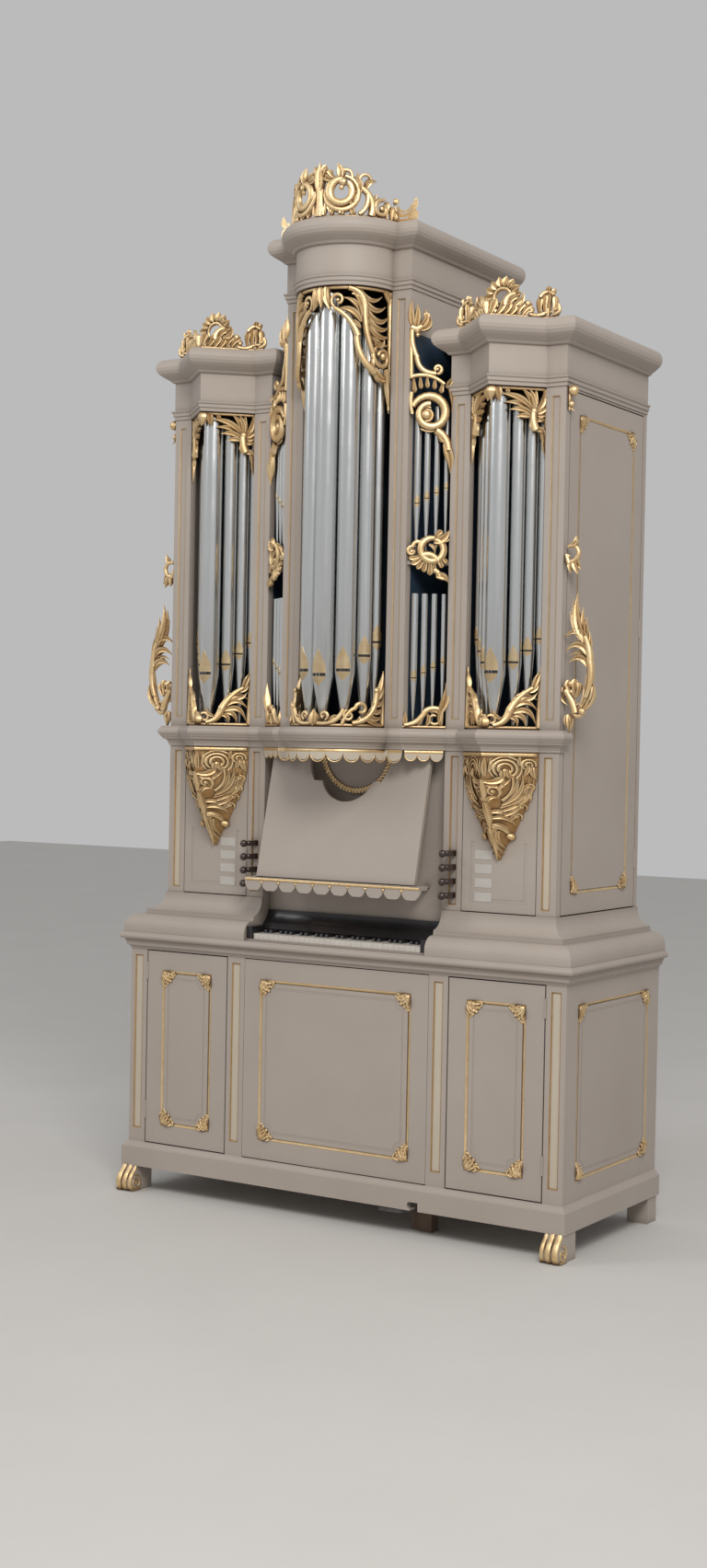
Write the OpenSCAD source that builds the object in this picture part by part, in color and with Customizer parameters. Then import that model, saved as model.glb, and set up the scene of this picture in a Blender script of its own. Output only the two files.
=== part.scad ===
// Small choir organ: base cabinet with keyboard, two pedestals, and a
// pipe case of two pointed side towers, a round centre tower and two flats.
// X runs to the right, Y to the back, Z up. Millimetres.
// The origin is on the floor, under the middle of the whole case.

/* [Base cabinet] */
// Width of the base cabinet's body
base_w = 1942; // [1800:2:2100]
// Depth of the base cabinet's body
base_d = 795; // [700:5:900]
// Height of the feet under the plinth
foot_h = 100; // [80:1:130]
// Height of the plinth's upright face
plinth_h = 75; // [60:1:100]
// How far the plinth stands out from the body
plinth_out = 20; // [12:1:30]
// Height of the sloped cap of the plinth
plinth_cap_h = 21; // [12:1:30]
// Height of the body between plinth and cornice
body_h = 776; // [700:1:850]
// Height of the cornice round the base
base_cornice_h = 68; // [60:1:80]
// Width of the outer pilasters of the base
outer_pilaster_w = 80; // [70:1:95]
// Width of the inner pilasters of the base
inner_pilaster_w = 82; // [70:1:95]
// Width of the centre panel of the base
centre_panel_w = 823; // [760:1:860]
// Thickness of the case boards
board_t = 22; // [18:1:28]
// Thickness of the rear board
back_t = 18; // [12:1:22]

/* [Doors and panels] */
// Running gap round a door
door_gap = 5; // [5:0.5:7]
// Radius of a hinge barrel
barrel_r = 4; // [3.5:0.5:5]
// Length of one half of a hinge barrel
barrel_h = 35; // [25:1:50]
// Depth of the grooves and scooped fields in the panels
field_sink = 5; // [3:0.5:7]
// Width of the border outside a panel's fillet frame
panel_border = 74; // [55:1:78]
// Width of a fillet frame's groove
groove_w = 12; // [8:1:16]
// Radius of the scooped corners of the inner field
scoop_r = 30; // [20:1:40]

/* [Upper case] */
// How far the upper case stands in from the base, at the front and sides
case_in = 100; // [80:1:120]
// Height of the large ogee moulding
ogee_h = 160; // [140:1:180]
// Height of the pedestals under the towers
pedestal_h = 590; // [540:1:640]
// Height of the impost cornice
impost_h = 78; // [70:1:95]
// Height of the pipe fields of the side towers
side_field_h = 1227; // [1100:1:1350]
// Height of the pipe field of the centre tower
centre_field_h = 1616; // [1500:1:1750]
// Height of the entablature on each tower
entablature_h = 238; // [220:1:250]
// Width of a side tower over its pilasters, as a share of the base's width
side_tower_share = 0.2405; // [0.225:0.0005:0.25]
// Width of the centre tower over its pilasters, as a share of the base's width
centre_tower_share = 0.2812; // [0.265:0.0002:0.29]
// Width of a pilaster of the upper case
pilaster_w = 79; // [70:1:90]
// Thickness of the pilasters
pilaster_t = 34; // [28:1:40]
// How far the point of a side tower stands in front of its pilasters
arris_out = 146; // [120:1:160]
// How far the centre tower stands in front of the side towers
centre_out = 90; // [70:1:110]
// Depth from the front of the pilasters to the dark lining behind the pipes
lining_in = 250; // [230:1:300]
// Depth of the recess over the keyboard
recess_in = 52; // [40:1:70]

/* [Keyboard] */
// Number of white keys, C to f
naturals_n = 32; // [25:1:33]
// Gap between keys
key_gap = 0.9; // [0.6:0.1:1.4]
// Height of a white key's front
natural_h = 21; // [18:1:25]
// Height of a black key above the white ones
sharp_h = 12; // [10:1:14]
// Width of a black key
sharp_w = 11; // [9:0.5:13]
// Length of a white key's head in front of the black keys
key_head = 46; // [40:1:52]
// Width of the dark blocks at the ends of the keyboard
cheek_w = 27; // [20:1:30]
// Thickness of the table that carries the keys
key_bed_t = 28; // [22:1:34]

/* [Stop knobs] */
// Number of stop knobs on each side
knobs_n = 4; // [2:1:5]
// Distance between the stop knobs
knob_pitch = 51.7; // [45:0.1:60]
// Height of the top knob above the pedestal's foot
knob_top = 213; // [190:1:260]
// Side of the square shank
shank_w = 20; // [16:1:24]
// How far the shank stands out of the pilaster
shank_out = 48; // [40:1:56]
// Radius of the knob's ball
ball_r = 14.5; // [12:0.5:17]
// Travel of a knob when it is drawn
knob_travel = 35; // [25:1:40]
// Running clearance round a shank
shank_clear = 0.6; // [0.3:0.1:1]

/* [Pipes] */
// Diameter of the middle pipe of the centre tower
centre_pipe_d = 82; // [74:1:88]
// Diameter of the middle pipe of a side tower
side_pipe_d = 78; // [70:1:82]
// Diameter of the largest pipe of a flat
flat_pipe_d = 28; // [24:1:30]
// Height of the middle pipe's mouth above the chest
mouth_h = 202; // [180:1:220]
// Rise of the mouths from one pipe to the next
mouth_step = 44; // [30:1:50]
// Height of the lower storey of the flats
storey_h = 620; // [580:5:660]

/* [Ornament] */
// Thickness of the carved boards
carving_t = 16; // [12:1:22]
// How far a side wing stands out
wing_out = 118; // [100:1:125]

/* [Music desk] */
// Distance from the music desk to the tower beside it
desk_in = 51; // [40:1:80]
// Height of the desk board
desk_h = 487; // [440:1:500]
// Thickness of the desk board
desk_t = 16; // [12:1:20]
// Lean of the desk from upright, in degrees
desk_lean = 13; // [9:0.5:15]
// Depth of the desk's ledge
ledge_d = 52; // [40:1:60]
// Number of scallops under the ledge
scallops_n = 10; // [8:1:12]
// Radius of the half-round pendant plate
pendant_r = 162; // [140:1:175]

/* [Hidden] */
$fn = 48;
seat = 0.3;

paint = "#a59c91";
gold = "#c8a468";
tin = "#c4c8ca";
dark = "#241f22";
navy = "#17202b";
ivory = "#ded9cf";

// Heights, from the floor up
body_z = foot_h + plinth_h + plinth_cap_h;
base_cornice_z = body_z + body_h;
ogee_z = base_cornice_z + base_cornice_h;
case_z = ogee_z + ogee_h;
impost_z = case_z + pedestal_h;
chest_z = impost_z + impost_h;
side_top_z = chest_z + side_field_h;
centre_top_z = chest_z + centre_field_h;
roof_z = side_top_z + entablature_h - board_t / 2;
key_bed_z = ogee_z + 8;
key_z = key_bed_z + natural_h + seat;

// Places across, for the right half
base_x = base_w / 2;
case_x = base_x - case_in;
side_tower_w = base_w * side_tower_share;
centre_tower_w = base_w * centre_tower_share;
tower_in_x = case_x - side_tower_w;
tower_mid_x = case_x - side_tower_w / 2;
tower_half = side_tower_w / 2 - pilaster_w;
centre_x = centre_tower_w / 2;
bulge_r = centre_x - pilaster_w;
door_out_x = base_x - outer_pilaster_w;
door_in_x = centre_panel_w / 2 + inner_pilaster_w;
keys_x = tower_in_x - cheek_w - 2 - seat;
natural_pitch = 2 * keys_x / naturals_n;
desk_w = 2 * (tower_in_x - desk_in);

// Places in depth, with the base's front face at 0
case_y = case_in;
centre_y = case_y - centre_out;
back_y = base_d;
lining_y = case_y + lining_in;
recess_y = case_y + recess_in;
top_out = 60;
front_y = centre_y - bulge_r - top_out;
mid_y = (front_y + back_y) / 2;

// Directions of the slanted faces, as seen from above
facet_a = atan2(tower_half, arris_out);
flat_a = atan2(tower_in_x - centre_x, centre_out);
flat_l = norm([tower_in_x - centre_x, centre_out]);

module made(c) color(c) translate([0, -mid_y, 0]) children();

module both() {
    children();
    mirror([1, 0, 0]) children();
}

function arc(cx, cz, r, a0, a1, n = 6) =
    [for (i = [0:n]) let (a = a0 + (a1 - a0) * i / n) [cx + r * cos(a), cz + r * sin(a)]];

// A straight run of moulding through point p, facing the direction a.
// The profile's first value is how far it stands out, the second its height.
module run(p, a, profile, len, depth = 60) {
    z0 = profile[0][1];
    z1 = profile[len(profile) - 1][1];
    translate([p[0], p[1], 0]) rotate([0, 0, a]) rotate([90, 0, 0])
        translate([0, 0, -len / 2]) linear_extrude(len)
            polygon(concat([[-depth, z0]], profile, [[-depth, z1]]));
}

// A box between two corners
module box(a, b) translate(a) cube(b - a);

// A block with moulding on the front and both sides, flush at the back
module moulded_block(x0, x1, y0, profile, back = back_y) {
    w = x1 - x0;
    d = back - y0;
    intersection() {
        run([(x0 + x1) / 2, y0], -90, profile, w + 400, d);
        union() {
            run([x1, (y0 + back) / 2], 0, profile, d + 400, w / 2 + 10);
            run([x0, (y0 + back) / 2], 180, profile, d + 400, w / 2 + 10);
        }
        box([x0 - 200, y0 - 200, 0], [x1 + 200, back, 9000]);
    }
}

// The pointed front of a side tower, with its moulding mitred at the arris
module pointed_front(profile, x = tower_mid_x) {
    y = case_y - arris_out;
    l = 2 * norm([tower_half, arris_out]);
    reach = 200;
    intersection() {
        run([x, y], -facet_a, profile, l + reach, l);
        run([x, y], facet_a - 180, profile, l + reach, l);
        box([x - tower_half - pilaster_w / 2, y - reach, 0],
            [x + tower_half + pilaster_w / 2, case_y + pilaster_t / 2, 9000]);
    }
}

// Profile of the base cornice, standing out from the body
function base_cornice_profile(z) = concat(
    [[0, z]], arc(16, z, 14, 180, 100), [[15, z + 18], [15, z + 27], [19, z + 30], [19, z + 38]],
    arc(24, z + 52, 13, -70, 70), [[26, z + base_cornice_h]]);

// Profile of the large ogee, standing out from the upper case
function ogee_profile(z) = concat(
    [[case_in + 24, z]], arc(case_in - 28, z + 20, 52, 0, 75),
    [[case_in - 38, z + 72], [case_in - 40, z + 82], [case_in - 40, z + 90]],
    arc(66, z + 150, 60, 262, 180, 8), [[7, z + ogee_h]]);

// Profile of the impost cornice
function impost_profile(z) = concat(
    [[0, z], [5, z], [5, z + 8]], arc(24, z + 10, 17, 180, 95), [[25, z + 33], [29, z + 37]],
    arc(20, z + 56, 18, -50, 60), [[28, z + impost_h]]);

// Profile of a tower's entablature
function entablature_profile(z) = concat(
    [[0, z], [4, z], [4, z + 12], [9, z + 15], [9, z + 26], [14, z + 31], [14, z + 35], [3, z + 37],
     [3, z + 146], [12, z + 149], [20, z + 158], [24, z + 160]],
    arc(top_out - 38, z + entablature_h - 33, 38, -58, 60));

post_x = 341;
notch_h = 52;
module plinth() made(paint) {
    slope = [[plinth_out, foot_h], [plinth_out, foot_h + plinth_h],
        [plinth_out - 6, foot_h + plinth_h + 4],
             [5, body_z - 5], [0, body_z]];
    difference() {
        moulded_block(-base_x, base_x, 0, slope);
        box([-base_x + board_t, board_t, 0], [base_x - board_t, back_y - board_t, body_z + 1]);
        // Notch with a rounded corner, where the wooden post stands
        translate([post_x + 19, 40, foot_h - 20]) rotate([90, 0, 0]) linear_extrude(80) {
            square([34, notch_h]);
            translate([0, notch_h - 12]) circle(12);
        }
    }
}

// One scroll foot: a volute seen from the side, with a block behind it
module scroll_foot() {
    w = 74;
    translate([base_x + plinth_out - 4 - w, 0, 0]) {
        translate([0, -plinth_out + 2, 0]) cube([w, 96, foot_h - seat]);
        translate([w, 0, 0]) rotate([0, -90, 0]) linear_extrude(w) {
            translate([32, -plinth_out - 4]) circle(32);
            polygon([[foot_h - seat, 0], [foot_h - seat, -plinth_out + 4], [80, -plinth_out - 8],
                     [56, -plinth_out - 26], [30, -plinth_out - 34], [0, -plinth_out - 4], [0, 0]]);
        }
    }
}

module front_feet() made(gold) both() scroll_foot();

module rear_feet() made(paint) both()
    box([base_x - 70, back_y - 92, 0], [base_x + plinth_out - 6, back_y - 12, foot_h - seat]);

// A wooden post and its cheek, under the floor of the base; they hold the lever
module pedal_blocks() made("#5f4837") {
    box([post_x, 90, 0], [post_x + 51, 140, body_z - board_t - seat]);
    box([post_x - 41, 100, 0], [post_x - seat, 132, foot_h - 26 - seat]);
}

module pedal_lever() made("#77746f")
    translate([0, 0, foot_h - 26]) linear_extrude(14)
        polygon([[210, 10], [300, 20], [post_x - seat, 100], [post_x - seat, 118], [300, 60], [206, 24]]);

// A hinge: one barrel half fixed, one moving, on the same pin line
module barrel(z, grow = 0) translate([0, 0, z - grow]) cylinder(r = barrel_r + grow,
    h = barrel_h + 2 * grow);

hinge_fixed = [0.12, 0.84];
module fixed_barrels(z0, h, grow = 0) for (f = hinge_fixed) barrel(z0 + f * h, grow);
module moving_barrels(z0, h, grow = 0)
    for (f = hinge_fixed) barrel(z0 + f * h + barrel_h + seat, grow);

door_z0 = body_z + door_gap;
door_z1 = base_cornice_z - door_gap;
base_hinge = [door_out_x - door_gap / 2, 0];

// Upright strips with a sunk panel, as on all four pilasters of the base
module base_strip(x0, x1) difference() {
    box([x0, 0, body_z], [x1, board_t, base_cornice_z]);
    box([x0 + 20, -1, body_z + 54], [x1 - 20, field_sink, base_cornice_z - 24]);
}

module base_pilasters() made(paint) both() {
    difference() {
        union() {
            base_strip(door_out_x, base_x);
            translate(base_hinge) fixed_barrels(door_z0, body_h);
            for (f = hinge_fixed) translate([base_hinge[0], 0, door_z0 + f * body_h])
                cube([door_gap / 2 + 1, barrel_r, barrel_h]);
        }
        translate(base_hinge) moving_barrels(door_z0, body_h, seat);
    }
    base_strip(centre_panel_w / 2 + 1.5, door_in_x);
}

module base_rails() made(paint) {
    difference() {
        box([-base_x + board_t, board_t + seat, base_cornice_z - 60],
            [base_x - board_t, 2 * board_t, base_cornice_z]);
        both() box([door_in_x - 20, 0, 0], [door_out_x + 2, board_t + 8, base_cornice_z + 1]);
    }
    both() box([centre_panel_w / 2 - 30, board_t + seat, body_z],
        [door_in_x - 20, 2 * board_t, base_cornice_z - 60]);
}

// The fillet frame and scooped inner field of a panel, cut in its face.
// Seen from the front: width w and height h, with the border left whole.
module field_cut(w, h, sink = field_sink) {
    iw = w - 2 * panel_border;
    ih = h - 2 * panel_border;
    in = panel_border + groove_w + 24;
    linear_extrude(2 * sink, center = true) {
        difference() {
            translate([panel_border, panel_border]) square([iw, ih]);
            translate([panel_border + groove_w, panel_border + groove_w])
                square([iw - 2 * groove_w, ih - 2 * groove_w]);
        }
        difference() {
            translate([in - 8, in - 8]) square([w - 2 * in + 16, h - 2 * in + 16]);
            difference() {
                translate([in, in]) square([w - 2 * in, h - 2 * in]);
                for (x = [in, w - in], y = [in, h - in]) translate([x, y]) circle(scoop_r);
            }
        }
    }
}

// Places a field cut on a face that looks to the front, lower left corner at p
module on_front(p) translate(p) rotate([90, 0, 0]) children();

module door_leaf(x0, x1) difference() {
    box([x0, 0, door_z0], [x1, board_t, door_z1]);
    on_front([x0, 0, door_z0]) field_cut(x1 - x0, door_z1 - door_z0);
}

module base_door() difference() {
    union() {
        door_leaf(door_in_x + door_gap, door_out_x - door_gap);
        translate(base_hinge) moving_barrels(door_z0, body_h);
        for (f = hinge_fixed)
            translate([door_out_x - door_gap - 1, 0, door_z0 + f * body_h + barrel_h + seat])
                cube([door_gap / 2 + 1, barrel_r, barrel_h]);
    }
    translate(base_hinge) fixed_barrels(door_z0, body_h, seat);
}

module base_door_right() made(paint) base_door();
module base_door_left() made(paint) mirror([1, 0, 0]) base_door();

module base_centre_panel() made(paint) {
    w = centre_panel_w;
    difference() {
        box([-w / 2, 0, body_z + 4], [w / 2, board_t, base_cornice_z - 4]);
        on_front([-w / 2, 0, body_z + 4]) field_cut(w, body_h - 8);
    }
}

module base_sides() made(paint) both() difference() {
    box([base_x - board_t, board_t + seat, body_z], [base_x, back_y - back_t - seat, base_cornice_z]);
    translate([base_x, board_t, body_z]) rotate([90, 0, 90])
        field_cut(back_y - 2 * board_t, body_h);
}

module base_back() made(paint)
    box([-base_x, back_y - back_t, body_z], [base_x, back_y, base_cornice_z]);

module base_floor() made(paint)
    box([-base_x + board_t + seat, 2 * board_t + seat, body_z - board_t],
        [base_x - board_t - seat, back_y - board_t - seat, body_z - seat]);

module base_cornice() made(paint) difference() {
    moulded_block(-base_x, base_x, 0, base_cornice_profile(base_cornice_z));
    box([-base_x + board_t, board_t, 0], [base_x - board_t, back_y - board_t, ogee_z - key_bed_t]);
    box([-base_x + board_t, board_t, 0], [base_x - board_t, back_y - board_t, ogee_z + 1]);
}

module key_bed() made(paint) {
    box([-base_x + board_t + seat, board_t + seat, ogee_z - key_bed_t],
        [base_x - board_t - seat, back_y - board_t - seat, ogee_z]);
    box([-tower_in_x + seat, -10, ogee_z + seat], [tower_in_x - seat, recess_y - seat, key_bed_z]);
}

module ogee_mouldings() made(paint) both() difference() {
    moulded_block(0, case_x, case_y, ogee_profile(ogee_z + seat));
    box([-300, -300, ogee_z - 1], [tower_in_x, back_y + 1, case_z + 1]);
    box([tower_in_x + board_t, case_y, 0], [case_x - board_t, back_y - back_t, case_z + 1]);
}

module key_cheeks() made(dark) both()
    box([keys_x + 2, -6, key_bed_z + seat], [keys_x + 2 + cheek_w, case_y - 16, key_z + 26]);

natural_len = case_y + 20;
module naturals() made(ivory) for (i = [0:naturals_n - 1])
    box([-keys_x + i * natural_pitch + key_gap / 2, 2, key_bed_z + seat],
        [-keys_x + (i + 1) * natural_pitch - key_gap / 2, natural_len, key_z]);

// Black keys follow the first, second, fourth, fifth and sixth of each seven
module sharps() made(dark) for (i = [0:naturals_n - 2])
    if (len([for (k = [0, 1, 3, 4, 5]) if (i % 7 == k) k]) > 0)
        translate([-keys_x + (i + 1) * natural_pitch, 0, 0]) rotate([90, 0, 90])
            translate([0, 0, -sharp_w / 2]) linear_extrude(sharp_w)
                polygon([[key_head, key_z + seat], [key_head + 4, key_z + sharp_h],
                         [natural_len, key_z + sharp_h], [natural_len, key_z + seat]]);

module fallboard() made(dark) {
    z0 = key_z + sharp_h + 1;
    z1 = case_z - 52;
    translate([-tower_in_x + seat, 0, 0]) rotate([90, 0, 90]) linear_extrude(2 * tower_in_x - 2 * seat)
        polygon(concat([[case_y - 12, z0]], arc(case_y - 22, z1 + 10, 62, -62, -6, 8),
                       [[recess_y - seat, z1 + 4], [recess_y - seat, z0]]));
}

// The front board of each pedestal: two pilasters with sunk strips
knob_x = tower_in_x + pilaster_w / 2 + 2;
function knob_z(i) = case_z + knob_top - i * knob_pitch;
module strip_cut(x, z0, z1, w = 34, y = case_y)
    box([x - w / 2, y - 1, z0], [x + w / 2, y + field_sink, z1]);

module pedestal_pilasters() made(paint) both() difference() {
    union() {
        box([tower_in_x, case_y, case_z + seat],
            [tower_in_x + pilaster_w, case_y + pilaster_t, impost_z]);
        box([case_x - pilaster_w, case_y, case_z + seat], [case_x, case_y + pilaster_t, impost_z]);
    }
    strip_cut(knob_x, case_z + 22, impost_z - 18);
    strip_cut(case_x - pilaster_w / 2 - 2, case_z + 22, impost_z - 18);
    for (i = [0:knobs_n - 1]) translate([knob_x, case_y, knob_z(i)])
        cube([shank_w + 2 * shank_clear, 200, shank_w + 2 * shank_clear], center = true);
}

module pedestal_panels() made(paint) both() {
    x0 = tower_in_x + pilaster_w + 3;
    x1 = case_x - pilaster_w - 3;
    difference() {
        box([x0, case_y, case_z + 4], [x1, case_y + board_t, impost_z]);
        on_front([x0, case_y, case_z + 4]) linear_extrude(2 * field_sink, center = true) difference() {
            translate([36, 36]) square([x1 - x0 - 72, 220]);
            translate([48, 48]) square([x1 - x0 - 96, 220]);
        }
    }
}

module recess_back() made(paint)
    box([-tower_in_x, recess_y, key_bed_z + seat], [tower_in_x, recess_y + board_t, impost_z - seat]);

module recess_cheeks() made(paint) both()
    box([tower_in_x + seat, case_y + pilaster_t + seat, case_z + 2 * seat],
        [tower_in_x + board_t, recess_y + 130, impost_z - seat]);

// A corbel carries the pointed front of a tower: leaf tiers, each smaller
// than the one above, shrinking to a drop at the tip
corbel_tiers = [[0, 1], [0.25, 0.97], [0.44, 0.82], [0.6, 0.6], [0.75, 0.42], [0.9, 0.165], [1, 0.05]];
corbel_h = 392;
module corbels() made(gold) both() for (i = [0:len(corbel_tiers) - 2])
    corbel_tier(corbel_tiers[i], corbel_tiers[i + 1]);

module corbel_tier(a, b) {
    z0 = impost_z - b[0] * corbel_h;
    z1 = impost_z - a[0] * corbel_h - seat;
    hull() {
        corbel_slice(a[1], z1 - 1);
        corbel_slice(b[1], z0);
    }
}

module corbel_slice(f, z) translate([tower_mid_x, case_y, z]) linear_extrude(1)
    polygon([[-f * tower_half, -seat], [f * tower_half, -seat], [f * tower_half, -seat - 1],
             [0, -f * arris_out - 2], [-f * tower_half, -seat - 1]]);

// A drawn knob: square shank, turned neck and ball
module stop_knob(i) {
    right = i < knobs_n;
    k = right ? i : i - knobs_n;
    translate([right ? knob_x : -knob_x, 0, knob_z(k)]) {
        translate([-shank_w / 2, case_y - shank_out, -shank_w / 2])
            cube([shank_w, shank_out + knob_travel + pilaster_t + 10, shank_w]);
        translate([0, case_y - shank_out, 0]) rotate([90, 0, 0]) rotate_extrude() polygon(concat(
            [[0, 0], [shank_w / 2, 0], [shank_w / 2, 3], [6, 7], [6, 12], [8.5, 14], [8.5, 17]],
            [for (a = [-40:20:80]) [ball_r * cos(a), 28 + ball_r * sin(a)]],
            [[0, 28 + ball_r]]));
    }
}

module stop_knob_1() made("#3a2c28") stop_knob(0);
module stop_knob_2() made("#3a2c28") stop_knob(1);
module stop_knob_3() made("#3a2c28") stop_knob(2);
module stop_knob_4() made("#3a2c28") stop_knob(3);
module stop_knob_5() made("#3a2c28") stop_knob(4);
module stop_knob_6() made("#3a2c28") stop_knob(5);
module stop_knob_7() made("#3a2c28") stop_knob(6);
module stop_knob_8() made("#3a2c28") stop_knob(7);

module stop_labels() made(ivory) both() for (i = [0:knobs_n - 1])
    translate([tower_in_x + pilaster_w + 56, case_y - 1, knob_z(i) - 17]) cube([72, 0.7, 34]);

// The desk leans on the recess, its board cut out round the pendant
desk_top_y = recess_y - 46;
desk_top_z = impost_z - 25;
module music_desk() made(paint)
    translate([0, desk_top_y, desk_top_z]) rotate([-desk_lean, 0, 0]) rotate([90, 0, 0])
        linear_extrude(desk_t) difference() {
            translate([-desk_w / 2, -desk_h]) square([desk_w, desk_h]);
            intersection() {
                circle(183, $fn = 64);
                translate([-200, -104]) square([400, 120]);
            }
            translate([0, -62]) circle(122, $fn = 64);
        }

ledge_y = desk_top_y - desk_h * sin(desk_lean) - desk_t * cos(desk_lean);
ledge_z = desk_top_z - desk_h * cos(desk_lean);
ledge_w = desk_w + 74;
module desk_ledge() made(paint) {
    box([-ledge_w / 2, ledge_y - ledge_d + 30, ledge_z - 14],
        [ledge_w / 2, ledge_y + 34, ledge_z - seat]);
    translate([0, ledge_y - ledge_d + 30 + 12, 0]) rotate([90, 0, 0]) linear_extrude(12)
        intersection() {
            for (i = [0:scallops_n - 1])
                translate([-ledge_w / 2 + (i + 0.5) * ledge_w / scallops_n, ledge_z - 14])
                    circle(ledge_w / scallops_n / 2 + 1);
            translate([-ledge_w / 2, ledge_z - 50]) square([ledge_w, 40]);
        }
    both() box([desk_w / 2 - 60, ledge_y + 20, ledge_z - 14],
        [desk_w / 2 - 30, recess_y - seat, ledge_z - 6]);
}

module pendant() made(paint) translate([0, recess_y - seat, impost_z - 8]) rotate([90, 0, 0]) {
    intersection() {
        cylinder(r = pendant_r - 12, h = 16, $fn = 64);
        translate([-300, -600, -1]) cube([600, 600, 60]);
    }
    intersection() {
        translate([0, 0, 14]) rotate_extrude($fn = 64) translate([pendant_r - 9, 0]) circle(9, $fn = 16);
        translate([-300, -600, 0]) cube([600, 600, 60]);
    }
}

// Scalloped hanging under the round front, with a gilded bead above it
module lambrequin() made(ivory) {
    translate([0, centre_y, 0]) difference() {
        union() {
            translate([0, 0, impost_z - 46]) cylinder(r = bulge_r + 4, h = 46 - seat, $fn = 64);
            translate([0, 0, impost_z - 9]) rotate_extrude($fn = 64)
                translate([bulge_r + 6, 0]) circle(7, $fn = 16);
        }
        translate([0, 0, impost_z - 60]) cylinder(r = bulge_r - 10, h = 80, $fn = 64);
        box([-400, 0, impost_z - 100], [400, 400, impost_z + 1]);
        box([-400, -400, impost_z - seat], [400, 400, impost_z + 20]);
        for (i = [1:8]) translate([0, 0, impost_z - 46]) rotate([0, 0, i * 20])
            rotate([0, -90, 0]) cylinder(r = 9, h = 600, $fn = 16);
    }
    both() box([bulge_r, centre_y, impost_z - 40], [centre_x, centre_y + 12, impost_z - seat]);
    both() oblique(-6) box([0, 0, impost_z - 40], [flat_l, 10, impost_z - seat]);
    both() box([bulge_r - 12, centre_y, impost_z - 20], [bulge_r, centre_y + 12, impost_z - seat]);
}

// Places a thing on the slanted flat: X along it from the centre tower,
// Y going in, measured from the line between the pilasters
module oblique(d) translate([centre_x, centre_y, 0]) rotate([0, 0, 90 - flat_a])
    translate([0, d, 0]) children();

// The plan of the upper case's front, closed at the given depth
module case_plan(inset, depth) {
    translate([-centre_x + inset, centre_y + inset])
        square([2 * (centre_x - inset), depth - centre_y - inset]);
    translate([0, centre_y]) circle(bulge_r - inset, $fn = 64);
    both_flat() {
        polygon([[0, depth], [0, centre_y + inset], [centre_x, centre_y + inset],
                 [tower_in_x, case_y + inset], [tower_in_x, depth]]);
        polygon([[tower_in_x - 1, case_y + inset], [case_x - inset, case_y + inset],
            [case_x - inset, depth],
                 [tower_in_x - 1, depth]]);
        polygon([[tower_mid_x - tower_half + inset, case_y + inset + 1],
                 [tower_mid_x, case_y - arris_out + 1.4 * inset],
                 [tower_mid_x + tower_half - inset, case_y + inset + 1]]);
    }
}
module both_flat() {
    children();
    mirror([1, 0]) children();
}

module impost_cornice() made(paint) difference() {
    union() {
        both() {
            moulded_block(tower_in_x, case_x, case_y, impost_profile(impost_z), case_y + pilaster_t);
            pointed_front(impost_profile(impost_z));
        }
        intersection() {
            run([0, centre_y], -90, impost_profile(impost_z), 1000, case_y + pilaster_t - centre_y);
            both_cut() run([centre_x, centre_y], -flat_a, impost_profile(impost_z),
                2 * case_x, case_x - centre_x);
        }
        translate([0, centre_y, 0]) rotate_extrude($fn = 96)
            translate([bulge_r, 0])
                polygon(concat([[-60, impost_z]], impost_profile(impost_z), [[-60, chest_z]]));
    }
    translate([0, 0, impost_z - 1]) linear_extrude(impost_h + 2) case_plan(board_t, case_y + 400);
}
module both_cut() intersection_for (m = [0, 1]) mirror([m, 0, 0]) children();

module wind_chest() made(paint) {
    translate([0, 0, chest_z - 30]) linear_extrude(30 - seat) intersection() {
        case_plan(board_t + seat, lining_y + 30);
        translate([-case_x + board_t + door_clear, -1000])
            square([2 * (case_x - board_t - door_clear), 1000 + lining_y + 30]);
    }
    rack_boards();
}

// The side wall: the pilaster in front, a rear post and a rail round the tall door
post_rear = 28;
door_clear = 6;
side_hinge = [case_x, back_y - post_rear - door_gap / 2];
side_z0 = case_z + door_gap;
side_z1 = side_top_z - door_gap - 8;
module side_frames() made(paint) both() difference() {
    union() {
        box([case_x - board_t, back_y - post_rear, case_z + seat], [case_x, back_y, side_top_z]);
        box([case_x - board_t, case_y + pilaster_t + seat, side_z1 + door_gap],
            [case_x, back_y - post_rear, side_top_z]);
        translate(side_hinge) fixed_barrels(side_z0, side_field_h);
        for (f = hinge_fixed) translate([side_hinge[0] - barrel_r, side_hinge[1],
            side_z0 + f * side_field_h])
            cube([barrel_r, door_gap / 2 + 1, barrel_h]);
    }
    translate(side_hinge) moving_barrels(side_z0, side_field_h, seat);
}

module side_door() difference() {
    y0 = case_y + pilaster_t + door_gap;
    y1 = back_y - post_rear - door_gap;
    union() {
        box([case_x - board_t, y0, side_z0], [case_x, y1, side_z1]);
        translate(side_hinge) moving_barrels(side_z0, side_field_h);
        for (f = hinge_fixed)
            translate([side_hinge[0] - barrel_r, y1 - 1, side_z0 + f * side_field_h + barrel_h + seat])
                cube([barrel_r, door_gap / 2 + 1, barrel_h]);
    }
    translate(side_hinge) fixed_barrels(side_z0, side_field_h, seat);
    w = y1 - y0 - 2 * panel_border;
    h = side_z1 - side_z0 - 2 * panel_border;
    translate([case_x, y0, side_z0]) rotate([90, 0, 90])
        linear_extrude(2 * field_sink, center = true) translate([panel_border, panel_border])
            difference() {
                square([w, h]);
                translate([groove_w, groove_w]) square([w - 2 * groove_w, h - 2 * groove_w]);
            }
}
module side_door_right() made(paint) side_door();
module side_door_left() made(paint) mirror([1, 0, 0]) side_door();

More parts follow.
